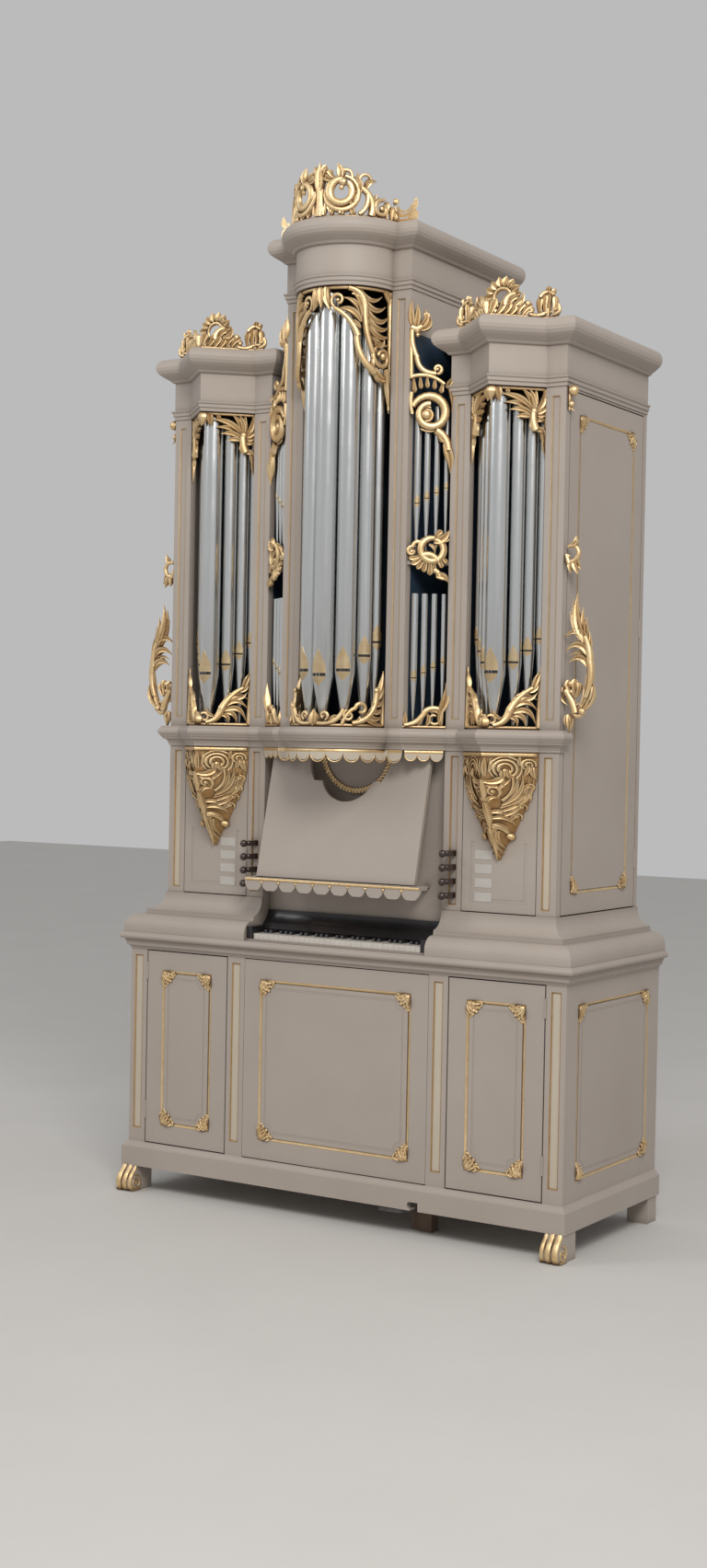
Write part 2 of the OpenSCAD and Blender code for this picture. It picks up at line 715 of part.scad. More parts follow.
// The rear boards follow the outline of the case from behind
module upper_back() made(paint) translate([0, back_y, 0]) rotate([90, 0, 0]) linear_extrude(back_t) {
    low = tower_in_x - seat;
    wide = case_x - board_t - seat;
    neck = tower_in_x - top_out - seat;
    translate([-low, ogee_z + seat]) square([2 * low, case_z - ogee_z + 1]);
    translate([-wide, case_z + 2 * seat]) square([2 * wide, side_top_z - case_z - 2 * seat]);
    translate([-neck, side_top_z - 1]) square([2 * neck, roof_z - side_top_z]);
    translate([-centre_x, roof_z - 2]) square([2 * centre_x, centre_top_z - roof_z + 2]);
}

// Dark boards close the case behind the pipes, between the cheeks of the towers
module dark_lining() made(navy) translate([0, lining_y + 12, 0]) rotate([90, 0, 0]) linear_extrude(12) {
    mid = centre_x - board_t - seat;
    side = centre_x + seat;
    translate([-mid, chest_z + seat]) square([2 * mid, centre_field_h - 2 * seat]);
    both_flat() {
        translate([side, chest_z + seat])
            square([case_x - board_t - door_clear - side, side_field_h - seat]);
        translate([side, side_top_z - 1])
            square([tower_in_x - top_out - seat - side, roof_z - board_t / 2 - seat - side_top_z + 1]);
    }
}

module upper_strip(x0, x1, y, z1) difference() {
    box([x0, y, chest_z + seat], [x1, y + pilaster_t, z1]);
    strip_cut((x0 + x1) / 2, chest_z + 36, z1 - 32, 34, y);
}

module upper_pilasters() made(paint) both() {
    upper_strip(tower_in_x, tower_in_x + pilaster_w, case_y, side_top_z);
    upper_strip(case_x - pilaster_w, case_x, case_y, side_top_z);
    upper_strip(bulge_r, centre_x, centre_y, centre_top_z);
}

// Upright boards that close the towers' inner sides, beside the flats
module tower_cheeks() made(paint) both() {
    box([centre_x - board_t, centre_y + pilaster_t + seat, chest_z + seat],
        [centre_x, back_y - back_t - seat, centre_top_z]);
    box([tower_in_x, case_y + pilaster_t + seat, chest_z + seat],
        [tower_in_x + board_t, lining_y - seat, side_top_z]);
}

module flat_roofs() made(navy) both()
    box([centre_x + seat, case_y + 120, roof_z - board_t / 2],
        [tower_in_x - top_out - seat, back_y - back_t - seat, roof_z]);

// One display pipe at the origin: foot, mouth and body, its mouth to the front
module pipe(d, mouth, top) {
    r = d / 2;
    lip = d * 0.9;
    difference() {
        union() {
            cylinder(r1 = r * 0.18, r2 = r, h = mouth - 2, $fn = 32);
            translate([0, 0, mouth - 2]) cylinder(r = r, h = top - mouth + 2, $fn = 32);
        }
        // Flattened upper lip, slanting back to the slit
        translate([-r, -r * 1.8, mouth]) cube([2 * r, r, d * 0.14]);
        translate([-r, -r * 1.9, mouth]) rotate([-4, 0, 0]) cube([2 * r, r, lip * 1.4]);
        translate([0, 0, top - 60]) cylinder(r = r - 1.6, h = 61, $fn = 32);
    }
}

side_d = [side_pipe_d, side_pipe_d * 0.68, side_pipe_d * 0.58, side_pipe_d * 0.52];
centre_d = [centre_pipe_d, centre_pipe_d * 0.93, centre_pipe_d * 0.8, centre_pipe_d * 0.7];
function sum_to(v, i) = i < 1 ? 0 : sum_to(v, i - 1) + v[i] / 2 + v[i - 1] / 2 + 2;

// Pipes of a side tower stand along its two facets
module side_tower_pipes() made(tin) both() {
    back = 40;
    translate([tower_mid_x, case_y - arris_out + back + side_pipe_d / 2 + 8, chest_z])
        pipe(side_d[0], mouth_h, side_field_h - 20);
    for (s = [-1, 1], i = [1:3]) {
        along = sum_to(side_d, i) + 8;
        translate([tower_mid_x + s * along * sin(facet_a),
                   case_y - arris_out + back + side_pipe_d / 2 + along * cos(facet_a), chest_z])
            pipe(side_d[i], mouth_h + i * mouth_step - 6, side_field_h - 20 - i * 30);
    }
}

// Pipes of the centre tower stand round its curve
centre_ring_r = bulge_r - centre_pipe_d / 2 - 32;
module centre_tower_pipes() made(tin) {
    translate([0, centre_y, chest_z]) for (k = [-3:3]) {
        i = abs(k);
        turn = sign(k) * ring_turn(i);
        rotate([0, 0, turn]) translate([0, -centre_ring_r - (centre_pipe_d - centre_d[i]) / 2, 0])
            rotate([0, 0, -turn * 0.5])
            pipe(centre_d[i], mouth_h - 14 + [0, 18, 74, 128][i], centre_field_h - 20 - i * 60);
    }
}
function chord_turn(i) = let (pair = (centre_d[i] + centre_d[i - 1]) / 2)
    2 * asin((pair + 2) / 2 / (centre_ring_r + (centre_pipe_d - pair) / 2));
function ring_turn(i) = i < 1 ? 0 : ring_turn(i - 1) + chord_turn(i);

// Pipes of the flats: two storeys of four, on a board between them
storey_z = chest_z + storey_h;
flat_pipe_in = 30;
flat_first = flat_pipe_in / tan(flat_a) + flat_pipe_d / 2 + 4;
flat_headroom = [120, 264];
module flat_pipes() made(tin) both() oblique(flat_pipe_in) for (i = [0:3]) {
    d = flat_pipe_d - i * 2.4;
    x = flat_first + i * (flat_l - flat_first - flat_pipe_d * 0.45) / 3;
    translate([x, 0, chest_z]) pipe(d, mouth_h - 16 + i * 20, storey_h - flat_headroom[0]);
    translate([x, 0, storey_z]) pipe(d, mouth_h + 8 + i * 20, roof_z - storey_z - flat_headroom[1]);
}

// Carving is drawn flat, as strokes: each is the outline of a tapered ribbon
function left_of(v) = [-v[1], v[0]];
function bow(a, b, bend, n = 5) = let (peak = (a + b) / 2 + left_of(b - a) * bend * 2)
    [for (i = [0:n]) let (t = i / n) a * (1 - t) * (1 - t) + peak * 2 * t * (1 - t) + b * t * t];
function spiral(c, r, a0, turn, close) = let (n = ceil(abs(turn) / 36))
    [for (i = [0:n]) let (t = i / n, a = a0 + turn * t) c + r * (1 - (1 - close) * t) * [cos(a), sin(a)]];
function across(p, i) = let (d = p[min(i + 1, len(p) - 1)] - p[max(i - 1, 0)]) left_of(d) / norm(d);
function ribbon(p, w) = let (n = len(p) - 1)
    concat([for (i = [0:n]) p[i] + across(p, i) * w[i] / 2],
        [for (i = [n:-1:0]) p[i] - across(p, i) * w[i] / 2]);
function stem(a, b, bend, wide, thin) = let (p = bow(a, b, bend))
    ribbon(p, [for (i = [0:5]) wide + (thin - wide) * i / 5]);
function leaf(a, b, bend, w) = ribbon(bow(a, b, bend), w * [0.45, 0.85, 1, 0.9, 0.6, 0.12]);
function curl(c, r, a0, turn, w, close = 0.4) = let (p = spiral(c, r, a0, turn, close), n = len(p) - 1)
    ribbon(p, [for (i = [0:n]) w * (1 - 0.35 * i / n)]);
function knob(c, r) = [for (a = [0:45:315]) c + r * [cos(a), sin(a)]];

// Lays flat strokes in front of a curved or slanted face. They are drawn for a
// round front of radius 194 and for slanted faces 212.6 wide, and follow the real ones
drawn_r = 194;
drawn_l = 212.6;
module laid_round(strokes, r) for (o = strokes)
    polygon([for (p = o) let (s = abs(p[0]) * bulge_r / drawn_r, a = min(s / r, round_end(r)))
        [sign(p[0]) * (r * sin(a * 180 / PI) + s - a * r), p[1]]]);
function round_end(r) = acos((r - bulge_r) / r) * PI / 180;
module laid_slant(strokes) for (o = strokes) polygon([for (p = o) [p[0] * tower_half / drawn_l, p[1]]]);
module laid_flat(strokes) for (o = strokes) polygon(o);

// The shade over the centre field, from the middle to the pilaster
centre_shade = [
    stem([-2, -6], [304, -6], 0, 12, 12), stem([290, -6], [291, -436], 0, 26, 10),
    leaf([0, -4], [0, -74], 0, 40), leaf([26, -4], [40, -86], -0.1, 34),
    curl([66, -54], 27, -110, -324, 14), stem([52, -80], [142, -184], 0.1, 14, 20),
    stem([106, -8], [168, -88], 0.22, 18, 22), stem([168, -88], [204, -238], -0.06, 22, 16),
    leaf([152, -128], [70, -88], -0.2, 26), leaf([154, -114], [100, -12], -0.18, 26),
    leaf([158, -46], [288, -70], -0.3, 26), leaf([168, -88], [290, -112], -0.3, 26),
    leaf([180, -134], [290, -164], -0.25, 24), stem([140, -184], [216, -312], -0.14, 20, 24),
    curl([246, -250], 40, 130, 396, 18), leaf([206, -300], [294, -330], -0.2, 32)];
centre_sill = [
    stem([-2, 6], [304, 6], 0, 12, 12), stem([290, 6], [293, 176], 0, 24, 8),
    leaf([0, 4], [0, 62], 0, 44), curl([42, 40], 17, -70, 324, 12),
    stem([8, 12], [116, 64], -0.2, 18, 14), curl([134, 42], 20, 110, 324, 12),
    stem([108, 8], [166, 74], 0.12, 14, 12), stem([148, 10], [256, 130], -0.2, 18, 18),
    leaf([196, 44], [290, 30], -0.2, 24), leaf([216, 62], [292, 70], -0.2, 24),
    leaf([236, 90], [294, 118], -0.15, 24)];

// The same for the slanted faces of the side towers, from the arris outwards
side_shade = [
    stem([-2, -5], [214, -5], 0, 10, 10), stem([206, -5], [207, -208], 0, 18, 10),
    leaf([0, -3], [0, -48], 0, 44), leaf([28, -3], [40, -50], 0, 30),
    leaf([156, -84], [34, -30], 0.18, 28), leaf([152, -98], [66, -86], 0.2, 26),
    leaf([162, -86], [114, -4], -0.12, 24), leaf([166, -86], [168, -3], 0, 24),
    leaf([170, -90], [210, -30], -0.14, 24), leaf([168, -106], [210, -96], -0.14, 22),
    stem([168, -152], [162, -80], 0.08, 30, 22), leaf([164, -148], [210, -196], 0.1, 28)];
side_sill = [
    stem([-2, 6], [214, 6], 0, 12, 12), stem([202, 6], [208, 228], 0, 20, 8),
    leaf([0, 4], [0, 52], 0, 44), stem([8, 8], [94, 72], -0.16, 18, 26),
    stem([92, 70], [182, 150], 0.08, 26, 12), leaf([98, 82], [202, 108], 0.26, 26),
    leaf([100, 66], [202, 50], 0.3, 26), leaf([100, 54], [152, 6], 0.3, 22),
    leaf([166, 142], [206, 180], -0.1, 20)];

// Scrolls of the flats: at the top, between the storeys and at the foot
flat_top = [
    stem([3, 262], [56, 330], -0.34, 22, 18), stem([4, 290], [34, 330], -0.25, 24, 18),
    stem([14, 290], [24, 150], -0.05, 16, 16), stem([24, 154], [94, 88], -0.22, 18, 16),
    knob([106, 96], 18), stem([20, 160], [12, -40], -0.06, 18, 14),
    stem([14, 6], [132, -14], 0.16, 16, 16), stem([34, -4], [30, 96], 0, 16, 12),
    stem([66, 0], [64, 84], 0, 18, 14), stem([98, -2], [100, 90], 0, 18, 14),
    stem([128, -18], [130, 46], 0, 20, 6), stem([10, 120], [40, 90], 0, 12, 12),
    curl([78, -68], 64, 50, -324, 24, 0.6), knob([68, -74], 34),
    leaf([108, -124], [156, -280], 0.1, 34), stem([128, -20], [157, -60], -0.1, 26, 14)];
flat_middle = [
    curl([98, 46], 47, 110, 360, 22, 0.62), stem([98, 0], [98, 76], 0, 14, 14),
    leaf([46, 56], [100, 92], 0.3, 24), leaf([104, 76], [157, 124], -0.15, 26),
    leaf([60, 44], [4, 44], 0.2, 28), leaf([62, 26], [12, 8], 0.12, 26),
    leaf([70, 12], [34, -26], 0.08, 26), leaf([84, 4], [64, -46], 0.06, 26),
    leaf([98, 2], [94, -58], 0, 26), leaf([112, 4], [126, -62], -0.06, 26),
    leaf([124, 10], [157, -70], 0.16, 24), leaf([130, 20], [157, -24], 0.1, 20)];
flat_foot = [
    stem([4, 6], [158, 6], 0, 12, 12), stem([5, 8], [84, 66], -0.14, 16, 18),
    stem([82, 64], [134, 72], 0.14, 18, 16), curl([116, 36], 28, 120, -396, 13),
    leaf([62, 10], [86, 60], 0.1, 20), leaf([134, 50], [157, 166], -0.1, 34),
    stem([148, 6], [154, 100], 0, 16, 10)];

// Keeps only a thin wall that follows a side tower's two facets
module facet_wall(inset, t) translate([tower_mid_x, 0, 0]) difference() {
    facet_wedge(inset, 0);
    translate([0, 0, -1]) facet_wedge(inset, t * 1.45);
}
module facet_wedge(inset, back) linear_extrude(9002) polygon([[-tower_half, case_y + 6 + back],
    [0, case_y - arris_out + inset + back], [tower_half, case_y + 6 + back]]);

module tube_wall(r, t) translate([0, centre_y, 0]) difference() {
    cylinder(r = r, h = 9000, $fn = 96);
    translate([0, 0, -1]) cylinder(r = r - t, h = 9002, $fn = 96);
    box([-500, -1, -2], [500, 500, 9003]);
}

module tower_shades() made(gold) {
    both() for (top = [0, 1]) intersection() {
        facet_wall(6, carving_t);
        translate([tower_mid_x, 300, top ? side_top_z - seat : chest_z + seat]) rotate([90, 0, 0])
            linear_extrude(600) intersection() {
                both_flat() laid_slant(top ? side_shade : side_sill);
                translate([-tower_half + seat, top ? -600 : 0]) square([2 * (tower_half - seat), 600]);
            }
    }
    for (top = [0, 1]) intersection() {
        tube_wall(bulge_r - seat, carving_t);
        translate([0, 300, top ? centre_top_z - seat : chest_z + seat]) rotate([90, 0, 0])
            linear_extrude(600) intersection() {
                both_flat() laid_round(top ? centre_shade : centre_sill, bulge_r);
                translate([-bulge_r, top ? -600 : 0]) square([2 * bulge_r, 600]);
            }
    }
}

// Carvings of the flats: a scroll at the top, one between the storeys, a low one below
rack_d = 44;
function flat_from(v) = (v - carving_t / 2) / tan(flat_a) + seat;
module flat_carvings() made(gold) both() oblique(-carving_t / 2) {
    rotate([90, 0, 0]) translate([0, 0, -carving_t]) linear_extrude(carving_t) intersection() {
        translate([flat_from(carving_t), chest_z])
            square([flat_l - flat_from(carving_t) - seat, roof_z - chest_z]);
        union() {
            translate([0, chest_z + seat]) laid_flat(flat_foot);
            translate([0, storey_z]) laid_flat(flat_middle);
            translate([0, side_top_z]) laid_flat(flat_top);
        }
    }
}

// The boards that carry the upper pipes fill the gaps between the pilasters
module rack_boards() both() oblique(-carving_t / 2)
    translate([0, 0, storey_z - 14]) linear_extrude(14 - seat)
        polygon([for (c = [[0, 0], [1, 0], [1, 1], [0, 1]]) let (v = carving_t + (c[1] ? rack_d : seat))
            [flat_from(v) + c[0] * (flat_l - 2 * seat), v]]);

module side_entablatures() made(paint) both() difference() {
    union() {
        moulded_block(tower_in_x, case_x, case_y, entablature_profile(side_top_z + seat));
        pointed_front(entablature_profile(side_top_z + seat));
    }
    top = side_top_z + entablature_h - board_t;
    box([tower_in_x + board_t, case_y + board_t, 0], [case_x - board_t, back_y - board_t, top]);
    linear_extrude(top)
        polygon([[tower_mid_x - tower_half + board_t, case_y + board_t + 1],
                 [tower_mid_x, case_y - arris_out + 1.4 * board_t],
                 [tower_mid_x + tower_half - board_t, case_y + board_t + 1]]);
}

module centre_entablature() made(paint) difference() {
    profile = entablature_profile(centre_top_z + seat);
    roof = profile[len(profile) - 1][1];
    top = centre_top_z + entablature_h - board_t;
    union() {
        moulded_block(-centre_x, centre_x, centre_y, profile);
        translate([0, centre_y, 0]) rotate_extrude($fn = 96) translate([bulge_r, 0])
            polygon(concat([[-60, profile[0][1]]], profile, [[-60, roof]]));
        translate([0, centre_y, top - 5]) cylinder(r = bulge_r - 40, h = roof - top + 5);
    }
    box([-centre_x + board_t, centre_y + board_t, 0], [centre_x - board_t, back_y - board_t, top]);
    translate([0, centre_y, 0]) cylinder(r = bulge_r - board_t, h = top, $fn = 64);
}

// Crests: a gilded strip, and the carving that stands on it
crest_strip = 12;
centre_crest_strokes = [
    stem([-2, 5], [398, 5], 0, crest_strip, crest_strip), stem([0, 8], [0, 130], 0, 26, 16),
    leaf([0, 112], [0, 208], 0, 44), leaf([6, 116], [28, 184], -0.15, 28),
    stem([2, 98], [46, 8], 0.1, 16, 20), curl([80, 78], 52, 70, 324, 22),
    curl([84, 80], 72, 160, 198, 16, 1), leaf([48, 120], [18, 158], 0.1, 24),
    leaf([80, 126], [70, 188], -0.1, 30), stem([166, 8], [166, 110], 0, 26, 20),
    leaf([166, 92], [168, 156], 0, 34), leaf([168, 104], [216, 126], 0.1, 28),
    leaf([164, 104], [126, 128], -0.1, 26), leaf([160, 60], [136, 8], 0, 20),
    curl([238, 44], 34, 60, 288, 18), leaf([266, 6], [262, 68], 0, 32),
    leaf([290, 6], [292, 56], 0, 30), stem([304, 6], [330, 36], -0.1, 22, 26),
    stem([308, 66], [390, 68], -0.45, 14, 14), leaf([332, 20], [326, 86], 0, 26),
    leaf([362, 16], [384, 88], 0, 26)];
side_crest_strokes = [
    stem([-2, 5], [262, 5], 0, crest_strip, crest_strip), leaf([14, 6], [20, 54], 0, 44),
    leaf([52, 6], [52, 46], 0, 40), leaf([84, 6], [92, 52], -0.1, 30),
    stem([104, 8], [126, 94], -0.2, 24, 10), leaf([128, 8], [168, 44], 0.15, 34),
    stem([150, 12], [206, 22], -0.1, 18, 14), leaf([206, 8], [212, 72], 0.1, 34),
    leaf([222, 8], [226, 88], 0, 34), leaf([240, 8], [246, 78], -0.1, 32),
    leaf([228, 70], [234, 114], -0.1, 20), stem([246, 8], [260, 50], -0.3, 14, 8)];

shell_z = 74;
shell_r = 68;
module crest_shell() linear_extrude(carving_t) difference() {
    union() {
        for (a = [-30:24:210]) polygon([for (p = leaf([24, 0], [shell_r, 0], 0, 34))
            [p[0] * cos(a) - p[1] * sin(a), shell_z + p[0] * sin(a) + p[1] * cos(a)]]);
        translate([0, shell_z]) circle(36);
        translate([-34, 0]) square([68, shell_z - 20]);
        both_flat() polygon(stem([30, 0], [62, 52], -0.2, 26, 16));
    }
    translate([0, shell_z]) circle(24);
}

module side_crests() made(gold) both() {
    z = side_top_z + entablature_h + seat;
    w = side_tower_w / 2 + 24;
    translate([tower_mid_x, 0, 0]) {
        intersection() {
            translate([0, 400, z]) rotate([90, 0, 0]) linear_extrude(900) intersection() {
                both_flat() for (o = side_crest_strokes) polygon([for (p = o) [crest_x(p[0]), p[1]]]);
                translate([-w, 0]) square([2 * w, 400]);
            }
            translate([-tower_mid_x, 0, 0]) crest_wall(w);
        }
        translate([0, case_y - 52, z + crest_strip]) rotate([90, 0, 0]) crest_shell();
    }
}
crest_out = 24;
crest_turn = crest_corner(crest_out);
function crest_corner(d) = (arris_out + d / sin(facet_a) - d) / cos(facet_a);
function crest_x(s) = let (a = min(abs(s), crest_turn)) sign(s) * (a * sin(facet_a) + abs(s) - a);
module crest_wall(w) difference() {
    crest_plan(w, crest_out);
    translate([0, 0, -1]) crest_plan(w + 1, crest_out - carving_t);
}
module crest_plan(w, d) translate([tower_mid_x, 0, 0]) linear_extrude(9002) polygon(
    let (x = crest_corner(d) * sin(facet_a), back = case_y + 60)
    [[-w, back], [-w, case_y - d], [-x, case_y - d], [0, case_y - arris_out - d / sin(facet_a)],
     [x, case_y - d], [w, case_y - d], [w, back]]);

module centre_crest() made(gold) {
    z = centre_top_z + entablature_h + seat;
    w = centre_x + crest_out;
    r = bulge_r + crest_out;
    intersection() {
        translate([0, 400, z]) rotate([90, 0, 0]) linear_extrude(900) intersection() {
            both_flat() laid_round(centre_crest_strokes, r);
            translate([-w, 0]) square([2 * w, 400]);
        }
        union() {
            tube_wall(r, carving_t);
            both() box([bulge_r + 4, centre_y - crest_out, 0],
                [w, centre_y - crest_out + carving_t * 1.4, 9000]);
        }
    }
}

// Thin carved boards that stand out from the front corners of the upper case
wing_strokes = [
    leaf([8, 150], [34, -2], -0.06, 40), stem([4, 90], [60, 122], 0.2, 34, 50),
    leaf([50, 124], [6, 178], 0.1, 40), leaf([60, 112], [94, 70], 0.1, 34),
    stem([56, 120], [108, 210], -0.2, 40, 24), stem([108, 208], [104, 340], -0.12, 24, 18),
    leaf([106, 300], [44, 466], -0.12, 36), leaf([104, 320], [66, 484], -0.1, 28),
    leaf([112, 262], [2, 344], -0.26, 24), leaf([112, 236], [3, 300], -0.26, 24),
    leaf([112, 210], [4, 256], -0.24, 22)];
wing_scroll = [
    curl([22, 66], 34, -150, 250, 18, 0.8), leaf([30, 40], [46, -6], 0, 24),
    leaf([16, 40], [22, 2], 0, 18), stem([3, 60], [14, 34], 0, 14, 18)];
module side_wings() made(gold) both()
    translate([case_x + seat, case_y + carving_t + 6, 0]) rotate([90, 0,
        0]) linear_extrude(carving_t) intersection() {
        union() {
            translate([0, chest_z]) laid_flat(wing_strokes);
            translate([0, chest_z + 562]) laid_flat(wing_scroll);
            translate([20, side_top_z - 16]) circle(20);
            translate([13, side_top_z - 64]) circle(12);
            translate([0, side_top_z - 80]) square([8, 70]);
        }
        translate([0, chest_z - 2]) square([wing_out, side_top_z - chest_z + 10]);
    }

plinth();
front_feet();
rear_feet();
pedal_blocks();
pedal_lever();
base_pilasters();
base_rails();
base_sides();
base_back();
base_floor();
base_door_left();
base_door_right();
base_centre_panel();
base_cornice();
ogee_mouldings();
key_bed();
key_cheeks();
naturals();
sharps();
fallboard();
pedestal_pilasters();
pedestal_panels();
recess_back();
recess_cheeks();
corbels();
stop_knob_1();
stop_knob_2();
stop_knob_3();
stop_knob_4();
stop_knob_5();
stop_knob_6();
stop_knob_7();
stop_knob_8();
stop_labels();
music_desk();
desk_ledge();
pendant();
lambrequin();
impost_cornice();
wind_chest();
side_frames();
side_door_left();
side_door_right();
upper_back();
dark_lining();
upper_pilasters();
tower_cheeks();
flat_roofs();
side_tower_pipes();
centre_tower_pipes();
flat_pipes();
tower_shades();
flat_carvings();
side_entablatures();
centre_entablature();
side_crests();
centre_crest();
side_wings();
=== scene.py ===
# A small painted church organ: its finishes, carving, display pipes, light and camera.
import bpy
import math
from mathutils import Matrix, Vector

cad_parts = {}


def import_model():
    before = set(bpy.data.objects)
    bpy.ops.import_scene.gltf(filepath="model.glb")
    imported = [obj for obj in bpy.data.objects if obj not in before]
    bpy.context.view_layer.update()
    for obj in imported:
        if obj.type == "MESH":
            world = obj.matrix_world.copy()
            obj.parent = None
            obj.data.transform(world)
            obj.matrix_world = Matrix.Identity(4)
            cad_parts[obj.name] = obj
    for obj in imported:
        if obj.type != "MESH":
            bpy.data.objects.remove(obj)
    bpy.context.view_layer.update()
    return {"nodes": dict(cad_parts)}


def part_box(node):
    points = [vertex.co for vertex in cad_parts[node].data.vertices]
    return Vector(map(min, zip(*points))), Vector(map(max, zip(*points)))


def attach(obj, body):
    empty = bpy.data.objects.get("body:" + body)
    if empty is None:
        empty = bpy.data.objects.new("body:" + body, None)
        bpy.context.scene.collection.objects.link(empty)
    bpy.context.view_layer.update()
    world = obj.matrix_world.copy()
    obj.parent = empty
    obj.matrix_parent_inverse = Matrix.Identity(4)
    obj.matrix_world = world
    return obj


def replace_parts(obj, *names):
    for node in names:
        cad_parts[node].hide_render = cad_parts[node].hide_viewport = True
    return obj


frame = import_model()
bpy.ops.object.select_all(action="DESELECT")

MM = 0.001


# Helpers for node trees

def feed(tree, socket, value):
    """Links a socket to what feeds it, or sets it to a constant; a colour is three numbers."""
    if isinstance(value, bpy.types.NodeSocket):
        tree.links.new(value, socket)
    else:
        socket.default_value = (*value, 1.0) if isinstance(value, tuple) else value


def put(tree, kind, inputs, **settings):
    """Adds a node, sets it and feeds its inputs."""
    made = tree.nodes.new(kind)
    for name, value in settings.items():
        setattr(made, name, value)
    for name, value in inputs.items():
        feed(tree, made.inputs[name], value)
    return made


def mix(tree, factor, one, two):
    """Mixes two colours."""
    return put(tree, "ShaderNodeMix", {0: factor, 6: one, 7: two}, data_type="RGBA").outputs[2]


def maths(tree, operation, *values):
    """One step of arithmetic on sockets and numbers."""
    return put(tree, "ShaderNodeMath", dict(enumerate(values)), operation=operation).outputs[0]


def remap(tree, value, *ends):
    """A value taken from one range to another and held within it; ends are both ranges' limits."""
    limits = dict(zip(("From Min", "From Max", "To Min", "To Max"), ends))
    return put(tree, "ShaderNodeMapRange", {"Value": value, **limits}).outputs["Result"]


def group(name, inputs, outputs):
    """An empty shader group with its inputs and outputs; gives the tree and its two end nodes."""
    tree = bpy.data.node_groups.new(name, "ShaderNodeTree")
    for label, value in inputs.items():
        socket = tree.interface.new_socket(label, in_out="INPUT", socket_type="NodeSocketFloat")
        socket.default_value = value
    for label in outputs:
        tree.interface.new_socket(label, in_out="OUTPUT", socket_type="NodeSocketFloat")
    return tree, tree.nodes.new("NodeGroupInput"), tree.nodes.new("NodeGroupOutput")


def use(tree, effect, **values):
    """Places an effect group in a tree, with its own values."""
    made = tree.nodes.new("ShaderNodeGroup")
    made.node_tree = effect
    for label, value in values.items():
        made.inputs[label.replace("_", " ").capitalize()].default_value = value
    return made


def object_place(tree):
    """The place on the object, in metres."""
    return tree.nodes.new("ShaderNodeTexCoord").outputs["Object"]


# Effects that more than one finish uses

def noise(tree, place, scale, detail, rough):
    """Noise whose middle values are spread from 0 to 1."""
    made = put(tree, "ShaderNodeTexNoise",
               {"Vector": place, "Scale": scale, "Detail": detail, "Roughness": rough})
    return remap(tree, made.outputs["Fac"], 0.3, 0.7, 0, 1)


def make_cloud():
    """Large soft patches and fine specks over a surface, both from 0 to 1."""
    tree, start, end = group("cloud", {"Patch size": 3.0, "Speck size": 120.0}, ("Patches", "Specks"))
    place = object_place(tree)
    patches = noise(tree, place, start.outputs["Patch size"], 4.0, 0.6)
    specks = noise(tree, place, start.outputs["Speck size"], 3.0, 0.7)
    tree.links.new(patches, end.inputs["Patches"])
    tree.links.new(specks, end.inputs["Specks"])
    return tree


def make_hollow_shade():
    """Ambient occlusion as a mask for painted shade: 1 in corners and hollow places, where shade falls, and 0
    on open faces.
    """
    tree, start, end = group("hollow_shade", {"Reach": 0.03, "Strength": 1.0}, ("Mask",))
    free = put(tree, "ShaderNodeAmbientOcclusion", {"Distance": start.outputs["Reach"]}, samples=6)
    shut = remap(tree, free.outputs["AO"], 0.35, 0.95, 1, 0)
    tree.links.new(maths(tree, "MULTIPLY", shut, start.outputs["Strength"]), end.inputs["Mask"])
    return tree


def make_streaks():
    """Long upright streaks, as brush marks, wood grain or the draw lines of metal."""
    tree, start, end = group("streaks", {"Fineness": 60.0, "Stretch": 0.06}, ("Mask",))
    lengths = put(tree, "ShaderNodeCombineXYZ", {"X": 1.0, "Y": 1.0, "Z": start.outputs["Stretch"]})
    drawn = put(tree, "ShaderNodeVectorMath", {0: object_place(tree), 1: lengths.outputs["Vector"]},
                operation="MULTIPLY")
    lines = noise(tree, drawn.outputs["Vector"], start.outputs["Fineness"], 4.0, 0.65)
    tree.links.new(lines, end.inputs["Mask"])
    return tree


CLOUD, HOLLOW_SHADE, STREAKS = make_cloud(), make_hollow_shade(), make_streaks()


# Finishes

def material(name, **shader):
    """A material with a Principled shader; the values go on the shader's own sockets."""
    made = bpy.data.materials.new(name)
    made.use_nodes = True
    tree = made.node_tree
    body = tree.nodes["Principled BSDF"]
    for label, value in shader.items():
        body.inputs[label.replace("_", " ")].default_value = value
    return made, tree, body


def roughen(tree, body, mask, rough, more):
    """Roughness that rises by a little more where the mask is 1."""
    tree.links.new(remap(tree, mask, 0, 1, rough, rough + more), body.inputs["Roughness"])


def bump(tree, body, height, strength, distance):
    """Relief too fine to model; the distance is in metres."""
    made = put(tree, "ShaderNodeBump", {"Height": height, "Strength": strength, "Distance": distance})
    tree.links.new(made.outputs["Normal"], body.inputs["Normal"])


def painted(name, colour, shade, corner_shade, rough=0.5):
    """Eggshell paint on wood: soft patches, faint brush marks and painted shade in the corners."""
    made, tree, body = material(name, IOR=1.45)
    cloud = use(tree, CLOUD, patch_size=2.2, speck_size=170.0)
    brush = use(tree, STREAKS, fineness=110.0, stretch=0.05)
    corner = use(tree, HOLLOW_SHADE, reach=0.035, strength=0.75)
    tone = mix(tree, cloud.outputs["Patches"], colour, shade)
    tone = mix(tree, maths(tree, "MULTIPLY", brush.outputs["Mask"], 0.12), tone, shade)
    # Painted shade: the third colour darkens corners where the occlusion mask is high
    tree.links.new(mix(tree, corner.outputs["Mask"], tone, corner_shade), body.inputs["Base Color"])
    roughen(tree, body, cloud.outputs["Specks"], rough, 0.1)
    specks = maths(tree, "MULTIPLY", cloud.outputs["Specks"], 0.4)
    bump(tree, body, maths(tree, "ADD", specks, brush.outputs["Mask"]), 0.16, 0.0006)
    return made


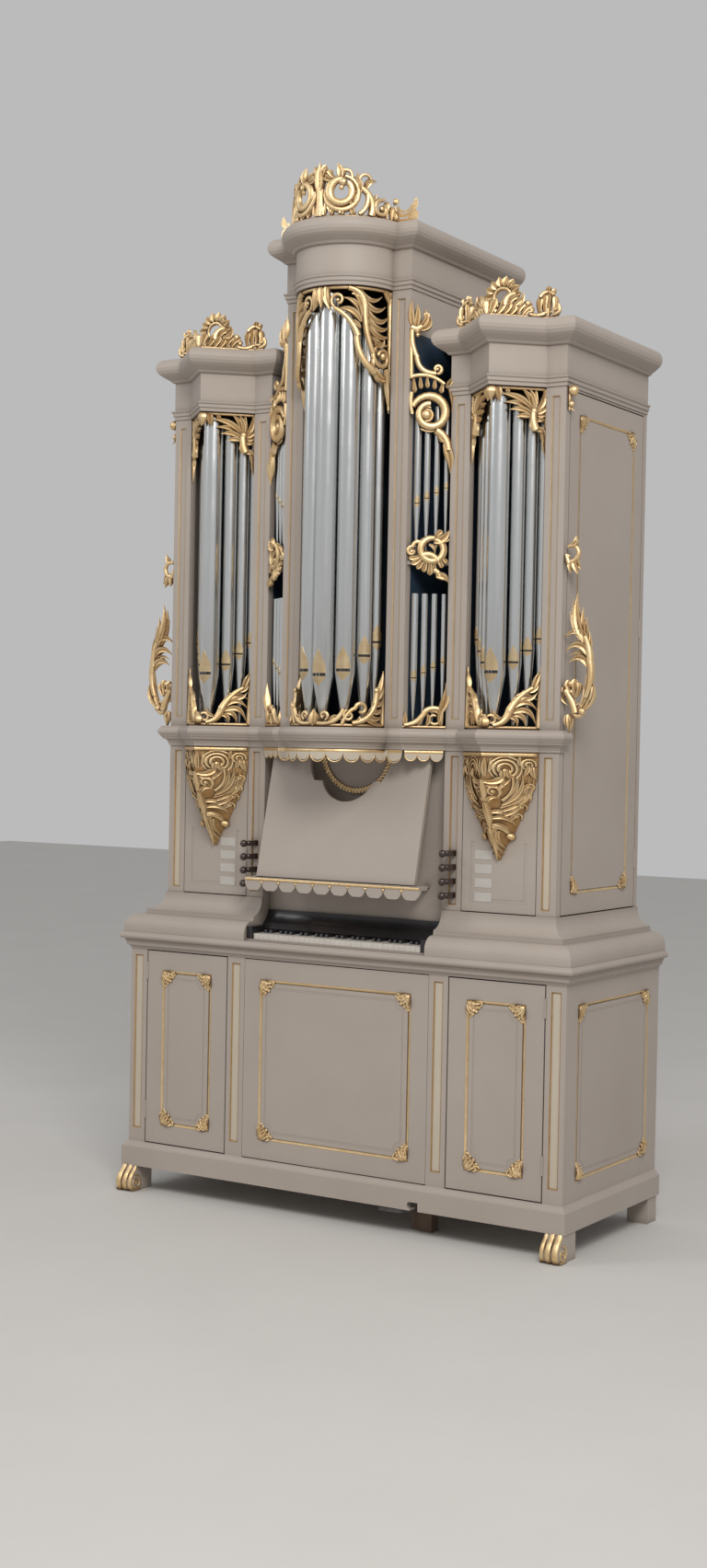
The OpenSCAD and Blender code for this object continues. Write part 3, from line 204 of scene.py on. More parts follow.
def lined_cheek(paint, lining, line):
    """Paint above the flats' roofs and the dark lining's colour below them: navy kept near black, partly its
    paint and partly painted shade of the case's inside; the line is in metres.
    """
    made, tree, body = material("cheek_paint", IOR=1.45, Roughness=0.55)
    height = put(tree, "ShaderNodeSeparateXYZ", {0: object_place(tree)}).outputs["Z"]
    cloud = use(tree, CLOUD, patch_size=2.2, speck_size=170.0)
    above, below = (mix(tree, cloud.outputs["Patches"], *tones[:2]) for tones in (paint, lining))
    tone = mix(tree, maths(tree, "GREATER_THAN", height, line), below, above)
    tree.links.new(tone, body.inputs["Base Color"])
    return made


def gilded(name, crown, shade, recess_shade, rough=0.34):
    """Gold leaf over carving in two tones that change in soft patches; painted shade turns the hollow places
    dark brown and less metallic.
    """
    made, tree, body = material(name)
    cloud = use(tree, CLOUD, patch_size=26.0, speck_size=420.0)
    corner = use(tree, HOLLOW_SHADE, reach=0.022, strength=1.3)
    tone = mix(tree, cloud.outputs["Patches"], crown, shade)
    # Painted shade: dark brown and less metal where the occlusion mask is high
    tree.links.new(mix(tree, corner.outputs["Mask"], tone, recess_shade), body.inputs["Base Color"])
    shade_dulling = maths(tree, "MULTIPLY", corner.outputs["Mask"], 0.55)
    tree.links.new(maths(tree, "SUBTRACT", 0.96, shade_dulling), body.inputs["Metallic"])
    roughen(tree, body, cloud.outputs["Specks"], rough, 0.16)
    patches = maths(tree, "MULTIPLY", cloud.outputs["Patches"], 1.5)
    bump(tree, body, maths(tree, "ADD", cloud.outputs["Specks"], patches), 0.35, 0.0008)
    return made


def polished_tin(name, bright, shade, rough):
    """Planed and polished pipe metal, with faint upright marks and a slight cloudiness."""
    made, tree, body = material(name, Metallic=1.0)
    cloud = use(tree, CLOUD, patch_size=7.0, speck_size=260.0)
    drawn = use(tree, STREAKS, fineness=260.0, stretch=0.02)
    tone = mix(tree, maths(tree, "MULTIPLY", drawn.outputs["Mask"], 0.5), bright, shade)
    tone = mix(tree, maths(tree, "MULTIPLY", cloud.outputs["Patches"], 0.35), tone, shade)
    tree.links.new(tone, body.inputs["Base Color"])
    roughen(tree, body, cloud.outputs["Patches"], rough, 0.1)
    bump(tree, body, drawn.outputs["Mask"], 0.05, 0.0005)
    return made


def grained(name, colour, vein, rough, coat=0.0):
    """Wood with its grain showing, under a thin finish."""
    made, tree, body = material(name, Coat_Weight=coat, Coat_Roughness=0.2)
    cloud = use(tree, CLOUD, patch_size=9.0, speck_size=300.0)
    grain = use(tree, STREAKS, fineness=150.0, stretch=0.07)
    tone = mix(tree, grain.outputs["Mask"], colour, vein)
    tone = mix(tree, maths(tree, "MULTIPLY", cloud.outputs["Patches"], 0.3), tone, vein)
    tree.links.new(tone, body.inputs["Base Color"])
    roughen(tree, body, cloud.outputs["Specks"], rough, 0.15)
    bump(tree, body, grain.outputs["Mask"], 0.12, 0.0006)
    return made


def plain(name, colour, shade, rough, metal=0.0):
    """A smooth worked finish: bone, ebony or iron, with a slight cloudiness."""
    made, tree, body = material(name, Metallic=metal)
    cloud = use(tree, CLOUD, patch_size=30.0, speck_size=500.0)
    tree.links.new(mix(tree, cloud.outputs["Patches"], colour, shade), body.inputs["Base Color"])
    roughen(tree, body, cloud.outputs["Specks"], rough, 0.1)
    bump(tree, body, cloud.outputs["Specks"], 0.1, 0.0004)
    return made


# Two tones of each paint, and the painted shade of its corners
STONE = ((0.42, 0.365, 0.318), (0.385, 0.33, 0.285), (0.20, 0.165, 0.135))
NAVY = ((0.024, 0.044, 0.072), (0.018, 0.034, 0.058), (0.004, 0.005, 0.008))
STONE_PAINT = painted("stone_paint", *STONE)
CREAM_PAINT = painted("cream_paint", (0.56, 0.49, 0.39), (0.50, 0.43, 0.34), (0.26, 0.20, 0.13))
# Navy for the lining and the flats' roofs, kept near black: partly their paint, partly painted shade of the
# case's dim inside
NAVY_PAINT_AND_SHADE = painted("navy_paint", *NAVY, rough=0.7)
ROOF_LINE = 3.3275
CHEEK = lined_cheek(STONE, NAVY, ROOF_LINE)
# Gold finishes: two leaf tones that vary in patches, then the painted shade of their hollow places
GILDING = gilded("gilding", (0.92, 0.71, 0.42), (0.80, 0.55, 0.27), (0.13, 0.06, 0.022))
# A darker gold: painted shade on the grounds behind carving, the shells' boards and the corbels' bodies
SHADED_GOLD = gilded("shaded_gold", (0.55, 0.34, 0.15), (0.38, 0.21, 0.08), (0.08, 0.04, 0.016), rough=0.45)
STRIP_GOLD = gilded("strip_gold", (0.66, 0.45, 0.23), (0.52, 0.33, 0.15), (0.14, 0.07, 0.03), rough=0.42)
PALE_GOLD = gilded("pale_gold", (0.66, 0.52, 0.34), (0.56, 0.42, 0.26), (0.30, 0.21, 0.12), rough=0.5)
LIP_GOLD = plain("lip_gold", (0.86, 0.68, 0.42), (0.74, 0.54, 0.30), 0.22, metal=1.0)
TIN = polished_tin("tin", (0.80, 0.81, 0.80), (0.62, 0.63, 0.63), 0.17)
DARK_WOOD = grained("dark_wood", (0.018, 0.015, 0.017), (0.008, 0.007, 0.008), 0.32, coat=0.3)
KNOB_WOOD = grained("knob_wood", (0.055, 0.028, 0.02), (0.02, 0.011, 0.009), 0.3, coat=0.4)
POST_WOOD = grained("post_wood", (0.16, 0.10, 0.065), (0.09, 0.055, 0.035), 0.6)
BONE = plain("bone", (0.62, 0.58, 0.52), (0.56, 0.51, 0.45), 0.3)
LABEL = plain("label_paper", (0.50, 0.47, 0.43), (0.46, 0.43, 0.39), 0.6)
# Ebony for the sharps; the same dark finish is the painted shade over the pipes' mouths
EBONY_AND_MOUTH_SHADE = plain("ebony", (0.012, 0.011, 0.012), (0.02, 0.018, 0.018), 0.28)
IRON = plain("iron", (0.19, 0.19, 0.19), (0.12, 0.115, 0.11), 0.5, metal=0.7)

# Of the nodes that stay in view, the stop knobs are wood and those not named here are stone paint
FINISHES = {
    # The corbels' bodies take the darker gold as painted shade between their leaves
    "tower_cheeks": CHEEK, "pedal_blocks": POST_WOOD, "pedal_lever": IRON, "corbels": SHADED_GOLD,
    "key_cheeks": DARK_WOOD, "fallboard": DARK_WOOD, "naturals": BONE, "sharps": EBONY_AND_MOUTH_SHADE,
    # The lining and the flats' roofs: navy paint kept near black as painted shade inside the case
    "stop_labels": LABEL, "dark_lining": NAVY_PAINT_AND_SHADE, "flat_roofs": NAVY_PAINT_AND_SHADE,
}
for name, node in frame["nodes"].items():
    finish = KNOB_WOOD if name.startswith("stop_knob") else FINISHES.get(name, STONE_PAINT)
    node.data.materials.clear()
    node.data.materials.append(finish)


# Places on the case, in millimetres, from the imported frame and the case's own driving sizes

def edge(node, corner, axis):
    """One side of a node's box, in millimetres: corner 0 is the lowest, 1 the highest."""
    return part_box(node)[corner][axis] / MM


# How far the base's pilasters stand proud, a foot's middle from the base's end, and a flat's lower storey
BASE_PROUD, FOOT_IN, STOREY = 4.0, 21.0, 620
# A side tower's width, a pilaster's width, how far an arris stands out, half the centre tower, the knobs
TOWER_W, PILASTER, ARRIS, CENTRE_X, KNOB_X = 467.0, 79.0, 146.0, 273.0, 445.5
MID_Y = -edge("base_pilasters", 0, 1) - BASE_PROUD
CASE_Y = edge("pedestal_pilasters", 0, 1) + MID_Y
CENTRE_Y = edge("upper_pilasters", 0, 1) + MID_Y
CASE_X, BASE_X = edge("pedestal_pilasters", 1, 0), edge("base_pilasters", 1, 0)
FOOT_X = BASE_X - FOOT_IN
IMPOST_Z, CHEST_Z = edge("impost_cornice", 0, 2), edge("impost_cornice", 1, 2)
SIDE_TOP, CENTRE_TOP = edge("side_frames", 1, 2), edge("upper_pilasters", 1, 2)
SIDE_ROOF, CENTRE_ROOF = edge("side_entablatures", 1, 2), edge("centre_entablature", 1, 2)
TOWER_IN = CASE_X - TOWER_W
TOWER_MID = CASE_X - TOWER_W / 2
TOWER_HALF = TOWER_W / 2 - PILASTER
BULGE = CENTRE_X - PILASTER
STOREY_Z = CHEST_Z + STOREY
FACET = math.atan2(TOWER_HALF, ARRIS)
FLAT = math.atan2(TOWER_IN - CENTRE_X, CASE_Y - CENTRE_Y)
FLAT_LENGTH = math.hypot(TOWER_IN - CENTRE_X, CASE_Y - CENTRE_Y)


def world(x, y, z):
    """A point in millimetres, with depth from the base's front, as a place in the frame."""
    return Vector((x, y - MID_Y, z)) * MM


# Surfaces that carvings lie on: each takes the way along, the height and the relief

def on_facet(side, way, inset):
    """One slanted face of a side tower; way is 1 outwards from the arris and -1 inwards."""
    def place(along, height, relief):
        x = along * math.sin(FACET) + relief * math.cos(FACET)
        y = CASE_Y - ARRIS + inset + along * math.cos(FACET) - relief * math.sin(FACET)
        return world(side * (TOWER_MID + way * x), y, height)
    return place


def on_bulge(radius):
    """The round front of the centre tower, running on straight over its pilasters."""
    turn = math.acos(min(1.0, (radius - BULGE) / radius))

    def place(along, height, relief):
        angle = max(-turn, min(turn, along / radius))
        past = along - angle * radius
        x = (radius + relief) * math.sin(angle) + past
        y = CENTRE_Y - (radius + relief) * math.cos(angle)
        return world(x, y, height)
    return place


def on_flat(side, inset):
    """The slanted flat between two towers, from the centre tower outwards."""
    def place(along, height, relief):
        depth = inset - relief
        x = CENTRE_X + along * math.sin(FLAT) - depth * math.cos(FLAT)
        y = CENTRE_Y + along * math.cos(FLAT) + depth * math.sin(FLAT)
        return world(side * x, y, height)
    return place


def on_front(side, middle, depth):
    """A face that looks to the front."""
    return lambda along, height, relief: world(side * (middle + along), depth - relief, height)


def on_side(side, face, out=1):
    """A face of the case's end, or with out = -1 one that looks inwards; the way along runs to the back."""
    return lambda along, height, relief: world(side * (face + relief * out), along, height)


def on_cornice(side, reach):
    """Over the top edge of a side tower: along both slanted faces and the pilaster fronts."""
    turn = (ARRIS + reach / math.sin(FACET) - reach) / math.cos(FACET)

    def place(along, height, relief):
        way = 1 if along >= 0 else -1
        slant = min(abs(along), turn)
        past = abs(along) - slant
        sideways, forwards = (math.cos(FACET), math.sin(FACET)) if past == 0 else (0.0, 1.0)
        x = slant * math.sin(FACET) + past + relief * sideways
        y = CASE_Y - ARRIS - reach / math.sin(FACET) + slant * math.cos(FACET) - relief * forwards
        return world(side * (TOWER_MID + way * x), y, height)
    return place


# A corbel's height, the gap behind its leaves, and its breadth at each share of the way down
CORBEL_H, CORBEL_GAP = 392.0, 2
CORBEL_TIERS = [(0, 1), (0.25, 0.97), (0.44, 0.82), (0.6, 0.6), (0.75, 0.42), (0.9, 0.165), (1, 0.05),
                (1.1, 0.03)]


def on_corbel(side):
    """The two slanted faces of a corbel, which shrinks to a drop at its tip."""
    def place(along, height, relief):
        down = (IMPOST_Z - height) / CORBEL_H
        share = CORBEL_TIERS[0][1]
        for (a, fa), (b, fb) in zip(CORBEL_TIERS, CORBEL_TIERS[1:]):
            if down >= a:
                share = fa + (fb - fa) * min(1.0, (down - a) / (b - a))
        y = CASE_Y - share * ARRIS - CORBEL_GAP + min(abs(along) / TOWER_HALF, share) * ARRIS
        return world(side * TOWER_MID + along, y - relief, height)
    return place


# Carving: strokes drawn flat, as tapered ribbons with a carved section, then laid on a surface

LEAF = [(-1, -0.5), (-1, 0.1), (-0.72, 0.62), (-0.36, 0.5), (0, 0.2), (0.36, 0.5), (0.72, 0.62), (1, 0.1),
        (1, -0.5)]
PLATE = [(-1, -0.5), (-1, 0.5), (-0.5, 0.5), (0, 0.5), (0.5, 0.5), (1, 0.5), (1, -0.5), (0, -0.5)]
STEM = [(-1, -0.5), (-1, 0.15), (-0.7, 0.6), (-0.25, 0.8), (0.25, 0.8), (0.7, 0.6), (1, 0.15), (1, -0.5)]


def section(name, outline):
    """A closed outline that a stroke's ribbon takes as its cross-section."""
    made = bpy.data.curves.new(name, "CURVE")
    made.dimensions = "2D"
    line = made.splines.new("POLY")
    line.points.add(len(outline) - 1)
    for point, (x, y) in zip(line.points, outline):
        point.co = (x, y, 0, 1)
    line.use_cyclic_u = True
    held = bpy.data.objects.new(name, made)
    bpy.context.scene.collection.objects.link(held)
    return held


SECTIONS = {"leaf": section("leaf_section", LEAF), "stem": section("stem_section", STEM),
            "plate": section("plate_section", PLATE)}


def spoke(degrees):
    """The direction at an angle, anticlockwise from the way along."""
    angle = math.radians(degrees)
    return Vector((math.cos(angle), math.sin(angle)))


def bowed(x0, y0, x1, y1, bend, count=12):
    """Points along a bow, with their shares of the way; bend is its rise to the left over its length."""
    a, b = Vector((x0, y0)), Vector((x1, y1))
    left = Vector((a.y - b.y, b.x - a.x))
    peak = (a + b) / 2 + left * bend * 2
    return [(a * (1 - t) ** 2 + peak * 2 * t * (1 - t) + b * t ** 2, t)
            for t in (i / count for i in range(count + 1))]


def leaf(x0, y0, x1, y1, bend, width):
    """A carved finger of a leaf: narrow at its foot, full in the middle, pointed."""
    def share(t):
        full = 0.45 + 0.55 * math.sin(math.pi * min(1, t * 1.15)) ** 0.8
        return max(0.08, full * math.sqrt(max(0.0, 1 - t ** 3)))
    return "leaf", [(p, width / 2 * share(t)) for p, t in bowed(x0, y0, x1, y1, bend)]


def stem(x0, y0, x1, y1, bend, wide, thin=None, count=12):
    """A rounded stem that tapers from one width to another."""
    thin = wide if thin is None else thin
    return "stem", [(p, (wide + (thin - wide) * t) / 2) for p, t in bowed(x0, y0, x1, y1, bend, count)]


def plate(along, rows):
    """A thin flat piece, straight up or down, from (height, half width) rows."""
    return "plate", [(Vector((along, height)), half) for height, half in rows]


def lobe(x0, y0, x1, y1, bend, width):
    """A rounded finger that grows from its foot to a full, round end."""
    def rounding(t):
        return math.sqrt(max(0.012, 1 - max(0, (t - 0.72) / 0.28) ** 2))
    return "leaf", [(p, width / 2 * (0.4 + 0.6 * min(1, t * 1.3)) * rounding(t))
                    for p, t in bowed(x0, y0, x1, y1, bend)]


def curl(x, y, radius, start, turn, width, close=0.4):
    """A scroll from its outer end inwards, to a share of its radius; angles in degrees, anticlockwise."""
    count = max(10, int(abs(turn) / 16))
    line = []
    for i in range(count + 1):
        t = i / count
        point = Vector((x, y)) + radius * (1 - (1 - close) * t) * spoke(start + turn * t)
        line.append((point, width / 2 * (1 - 0.35 * t) * (0.55 + 0.45 * min(1, t * 5))))
    return "stem", line


def bead(x, y, radius):
    """A round knob."""
    return "stem", [(Vector((x, y)) + Vector((radius * u, 0)), radius * math.sqrt(max(0.01, 1 - u * u)))
                    for u in (-1, -0.92, -0.7, -0.35, 0, 0.35, 0.7, 0.92, 1)]


def rosette(x, y, inner, outer, start, turn, count, width):
    """Leaves set round a centre like the flutes of a shell; angles in degrees."""
    centre = Vector((x, y))
    spokes = [spoke(start + turn * i / (count - 1)) for i in range(count)]
    return [leaf(*(centre + way * inner), *(centre + way * outer), 0, width) for way in spokes]


def fuller(strokes, share):
    """The same strokes, wider."""
    return [(kind, [(p, r * share) for p, r in line]) for kind, line in strokes]


def mirrored(strokes):
    """Each stroke and its mirror image across the line where the way along is nothing."""
    return strokes + [(kind, [(Vector((-p.x, p.y)), r) for p, r in line]) for kind, line in strokes]


# Strokes lie by turns in three layers this far apart, so that neighbours cross cleanly
LAYER = 1.1


def laid_strokes(laid, relief):
    """Turns groups of strokes, each with its surface and base height, into carved meshes."""
    parts = []
    for strokes, surface, base in laid:
        for kind in SECTIONS:
            lines = [(i, line) for i, (k, line) in enumerate(strokes) if k == kind]
            if not lines:
                continue
            bpy.ops.curve.primitive_nurbs_path_add()
            drawn = bpy.context.object
            drawn.data.splines.clear()
            drawn.data.dimensions = "3D"
            drawn.data.twist_mode = "Z_UP"
            for i, line in lines:
                spline = drawn.data.splines.new("POLY")
                spline.points.add(len(line) - 1)
                for point, (p, radius) in zip(spline.points, line):
                    point.co = (p.x, p.y, LAYER * (i % 3), 1)
                    point.radius = radius
            drawn.data.bevel_mode = "OBJECT"
            drawn.data.bevel_object = SECTIONS[kind]
            drawn.data.use_fill_caps = True
            bpy.ops.object.select_all(action="DESELECT")
            drawn.select_set(True)
            bpy.context.view_layer.objects.active = drawn
            bpy.ops.object.convert(target="MESH")
            drawn = bpy.context.object
            for vertex in drawn.data.vertices:
                x, y, z = vertex.co
                vertex.co = surface(x, base + y, z * relief)
            parts.append(drawn)
    return parts


def carve(name, laid, relief=1.0, more=(), finish=GILDING, **settings):
    """Cuts one carving from groups of strokes, each laid on its surface at a height."""
    return finish_piece(name, laid_strokes(laid, relief) + list(more), finish, angle=50, **settings)


def loop(count, outline, place):
    """A cross-section set round a closed loop; place gives each point from its turn and its outline pair."""
    bpy.ops.mesh.primitive_torus_add(major_segments=count, minor_segments=len(outline))
    made = bpy.context.object
    for vertex in made.data.vertices:
        turn, point = divmod(vertex.index, len(outline))
        vertex.co = place(turn, *outline[point])
    return made


def fillet(sides, outline, surface):
    """A moulded frame inside a rectangle: sides are left, right, foot and top."""
    left, right, foot, top = sides

    def place(turn, inset, relief):
        along = left + inset if turn in (0, 3) else right - inset
        return surface(along, foot + inset if turn < 2 else top - inset, relief)
    return loop(4, outline, place)


def slab(sides, low, high, surface):
    """A thin flat board over a rectangle, between two levels of relief."""
    left, right, foot, top = sides
    bpy.ops.mesh.primitive_cube_add(size=2)
    made = bpy.context.object
    for vertex in made.data.vertices:
        x, y, z = vertex.co
        vertex.co = surface(left if x < 0 else right, foot if y < 0 else top, low if z < 0 else high)
    return made


# Points closer than this, in metres, are made one
WELD = 0.00002


def finish_piece(name, parts, finish, angle=40, body="case", slot="gilding"):
    """Joins parts into one piece, turns its faces outwards, smooths it and hands it to its body."""
    bpy.ops.object.select_all(action="DESELECT")
    for part in parts:
        part.select_set(True)
    bpy.context.view_layer.objects.active = parts[0]
    if len(parts) > 1:
        bpy.ops.object.join()
    piece = bpy.context.object
    piece.name = name
    piece.data.name = name
    bpy.ops.object.transform_apply(location=True, rotation=True, scale=True)
    bpy.ops.object.mode_set(mode="EDIT")
    bpy.ops.mesh.select_all(action="SELECT")
    bpy.ops.mesh.remove_doubles(threshold=WELD)
    bpy.ops.mesh.normals_make_consistent(inside=False)
    bpy.ops.object.mode_set(mode="OBJECT")
    bpy.ops.object.shade_smooth_by_angle(angle=math.radians(angle))
    piece.data.materials.clear()
    piece.data.materials.append(finish)
    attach(piece, body)
    piece.select_set(False)
    return piece


# The carved shades of the pipe fields: right halves, heights from the field's top or foot

CENTRE_SHADE = [
    stem(-2, -7, 302, -7, 0, 13), stem(291, -8, 292, -440, 0, 24, 12), stem(286, -20, 287, -400, 0, 7, 4),
    leaf(0, -2, 0, -78, 0, 40), leaf(24, -2, 38, -88, -0.1, 34), leaf(0, -10, 2, -62, 0, 14),
    curl(66, -54, 29, -110, -330, 16), bead(66, -54, 7), stem(52, -82, 142, -184, 0.1, 15, 24),
    stem(106, -8, 168, -88, 0.22, 20, 26), stem(168, -88, 204, -240, -0.06, 26, 18),
    leaf(152, -132, 64, -86, -0.2, 28), leaf(152, -118, 84, -44, -0.22, 26),
    leaf(154, -106, 106, -8, -0.16, 26), leaf(150, -154, 98, -134, -0.2, 20),
    leaf(156, -40, 262, -64, -0.3, 28), leaf(148, -16, 240, -30, -0.3, 22),
    leaf(250, -10, 284, -66, 0.2, 26), leaf(166, -74, 284, -94, -0.34, 28),
    leaf(172, -104, 284, -132, -0.3, 28), leaf(178, -134, 282, -168, -0.26, 28),
    leaf(186, -166, 280, -202, -0.2, 26), stem(138, -184, 214, -310, -0.14, 20, 26),
    leaf(206, -208, 256, -176, -0.3, 22), curl(246, -250, 44, 130, 400, 22), bead(250, -248, 14),
    leaf(200, -262, 218, -300, -0.2, 18), leaf(212, -294, 284, -322, -0.3, 32),
    leaf(268, -292, 291, -452, 0.05, 34), stem(118, -30, 174, -108, 0.2, 7, 5),
    stem(174, -108, 208, -236, -0.06, 6, 4),
]
CENTRE_SILL = [
    stem(-2, 7, 302, 7, 0, 14), stem(291, 8, 294, 182, 0, 24, 8), stem(286, 16, 288, 140, 0, 6, 3),
    leaf(0, 4, 0, 66, 0, 42), leaf(0, 10, 0, 50, 0, 15), curl(42, 42, 17, -70, 330, 14), bead(42, 42, 5),
    stem(8, 14, 116, 66, -0.2, 20, 16), curl(134, 44, 21, 110, 330, 14), bead(134, 44, 6),
    stem(110, 12, 166, 76, 0.12, 16, 12), curl(182, 68, 25, 190, -330, 16),
    stem(148, 14, 254, 132, -0.2, 22, 22), bead(252, 138, 12), leaf(194, 42, 284, 18, -0.15, 22),
    leaf(204, 52, 286, 46, -0.2, 24), leaf(216, 66, 286, 78, -0.2, 24), leaf(230, 86, 286, 112, -0.2, 22),
    leaf(254, 104, 291, 212, -0.1, 32), leaf(60, 16, 114, 22, 0.35, 18), leaf(180, 10, 176, 42, 0.1, 20),
    stem(16, 20, 112, 62, -0.2, 5, 4),
]
SIDE_SHADE = [
    stem(-2, -6, 213, -6, 0, 12), stem(205, -8, 206, -206, 0, 18, 10), leaf(0, -2, 0, -52, 0, 42),
    leaf(0, -8, 0, -40, 0, 14), leaf(24, -4, 34, -52, -0.05, 34), leaf(154, -80, 36, -28, -0.12, 28),
    leaf(152, -90, 52, -58, -0.14, 26), leaf(152, -98, 70, -84, -0.14, 26),
    leaf(150, -106, 94, -108, -0.1, 22), leaf(66, -26, 52, -6, 0, 20), leaf(156, -80, 112, -6, -0.12, 26),
    leaf(160, -80, 140, -4, -0.08, 26), leaf(166, -80, 168, -4, 0.05, 26),
    leaf(170, -84, 194, -10, -0.14, 26), leaf(172, -92, 210, -46, -0.16, 24),
    leaf(172, -100, 210, -86, -0.14, 22), stem(168, -152, 160, -80, 0.08, 32, 24), bead(160, -86, 13),
    curl(166, -138, 21, 70, 340, 13), leaf(168, -120, 206, -122, 0.15, 20),
    leaf(168, -148, 208, -166, 0.1, 24), leaf(190, -150, 207, -222, 0.06, 28),
    leaf(196, -180, 208, -256, 0, 18),
]
SIDE_SILL = [
    stem(-2, 7, 213, 7, 0, 14), stem(201, 8, 206, 230, 0, 24, 8), stem(196, 14, 202, 170, 0, 6, 4),
    leaf(0, 6, 0, 56, 0, 42), leaf(0, 10, 0, 44, 0, 14), curl(24, 34, 19, 140, -330, 14),
    stem(30, 14, 94, 72, -0.16, 20, 30), stem(92, 68, 176, 152, 0.08, 30, 14), bead(92, 66, 13),
    leaf(98, 84, 194, 110, 0.26, 28), leaf(100, 74, 194, 72, 0.3, 26), leaf(102, 62, 188, 24, 0.3, 26),
    leaf(100, 54, 152, 12, 0.3, 24), leaf(90, 46, 120, 12, 0.3, 22), leaf(138, 116, 192, 136, -0.2, 20),
    leaf(162, 138, 194, 180, -0.2, 22), leaf(176, 148, 204, 216, 0, 24), leaf(60, 40, 30, 74, 0.2, 18),
]
FLAT_TOP = [
    leaf(12, 244, 4, 348, 0.04, 28), leaf(20, 244, 24, 334, -0.06, 28), leaf(28, 246, 54, 316, -0.24, 28),
    leaf(30, 240, 68, 296, -0.34, 26), curl(58, 290, 12, -60, 250, 12, 0.6),
    stem(4, 250, 42, 252, -0.24, 22, 24), bead(26, 236, 13), bead(28, 220, 9),
    stem(10, 246, 26, 140, -0.08, 16, 20), stem(4, 236, 8, 60, 0, 14, 16),
    stem(26, 146, 98, 80, -0.24, 22, 20), curl(104, 96, 17, -100, 320, 17, 0.5), bead(103, 96, 8),
    leaf(30, 128, 94, 78, -0.22, 12), stem(6, 66, 130, 42, 0.14, 16, 14), lobe(16, 62, 22, 8, 0, 20),
    lobe(40, 66, 44, 22, 0, 20), lobe(66, 66, 68, 26, 0, 20), lobe(94, 62, 94, 22, 0, 20),
    lobe(124, 48, 118, 8, 0, 22), leaf(146, 40, 158, -60, 0.1, 24), leaf(136, 30, 160, 74, -0.1, 26),
    stem(10, 10, 14, -70, -0.05, 18, 14), curl(80, -66, 69, 160, -430, 36, 0.5),
    curl(78, -66, 72, 150, -270, 9, 0.92), bead(66, -72, 21), curl(66, -72, 30, 60, 420, 15, 0.6),
    stem(104, -128, 150, -200, 0.14, 30, 28), leaf(136, -176, 158, -284, 0.08, 38),
    leaf(118, -140, 158, -170, -0.2, 24), lobe(96, -134, 128, -172, 0.1, 20),
]
FLAT_MIDDLE = [
    curl(97, 40, 44, 80, 355, 32, 0.9), curl(97, 40, 52, 100, 320, 9, 1), leaf(84, 60, 104, 24, 0.25, 15),
    leaf(116, 66, 106, 28, -0.1, 12), curl(22, 34, 19, 60, 320, 15), bead(21, 32, 9),
    stem(26, 54, 56, 64, 0.3, 16, 18), lobe(60, 26, 10, 10, 0.15, 22), lobe(60, 16, 20, -12, 0.12, 24),
    lobe(66, 8, 40, -30, 0.08, 24), lobe(76, 0, 64, -42, 0.04, 24), lobe(90, -4, 90, -54, 0, 26),
    lobe(104, -4, 112, -46, -0.06, 24), stem(58, 18, 118, 0, 0.2, 26, 24),
    lobe(124, 12, 138, -24, -0.1, 24), lobe(132, 20, 156, -6, -0.1, 20),
    stem(104, -34, 126, -66, 0.2, 20, 20), leaf(112, -56, 160, -80, 0.2, 32),
    leaf(102, 70, 160, 114, -0.14, 38), lobe(108, 76, 134, 110, 0.16, 22), lobe(120, 72, 158, 84, -0.1, 20),
    lobe(26, 20, 4, 48, -0.3, 18),
]
FLAT_FOOT = [
    stem(0, 6, 158, 6, 0, 14), stem(6, 12, 84, 66, -0.14, 20, 22), stem(82, 64, 132, 74, 0.14, 22, 18),
    curl(116, 38, 29, 120, -420, 15), leaf(60, 12, 84, 60, 0.1, 22), leaf(86, 12, 86, 62, -0.2, 20),
    leaf(132, 56, 157, 172, -0.12, 36), leaf(142, 12, 154, 96, 0.1, 26), leaf(10, 8, 8, 64, 0, 20),
    leaf(34, 10, 40, 34, 0, 18),
]

# Crests: right halves along the top edges of the cornices, heights from the roof

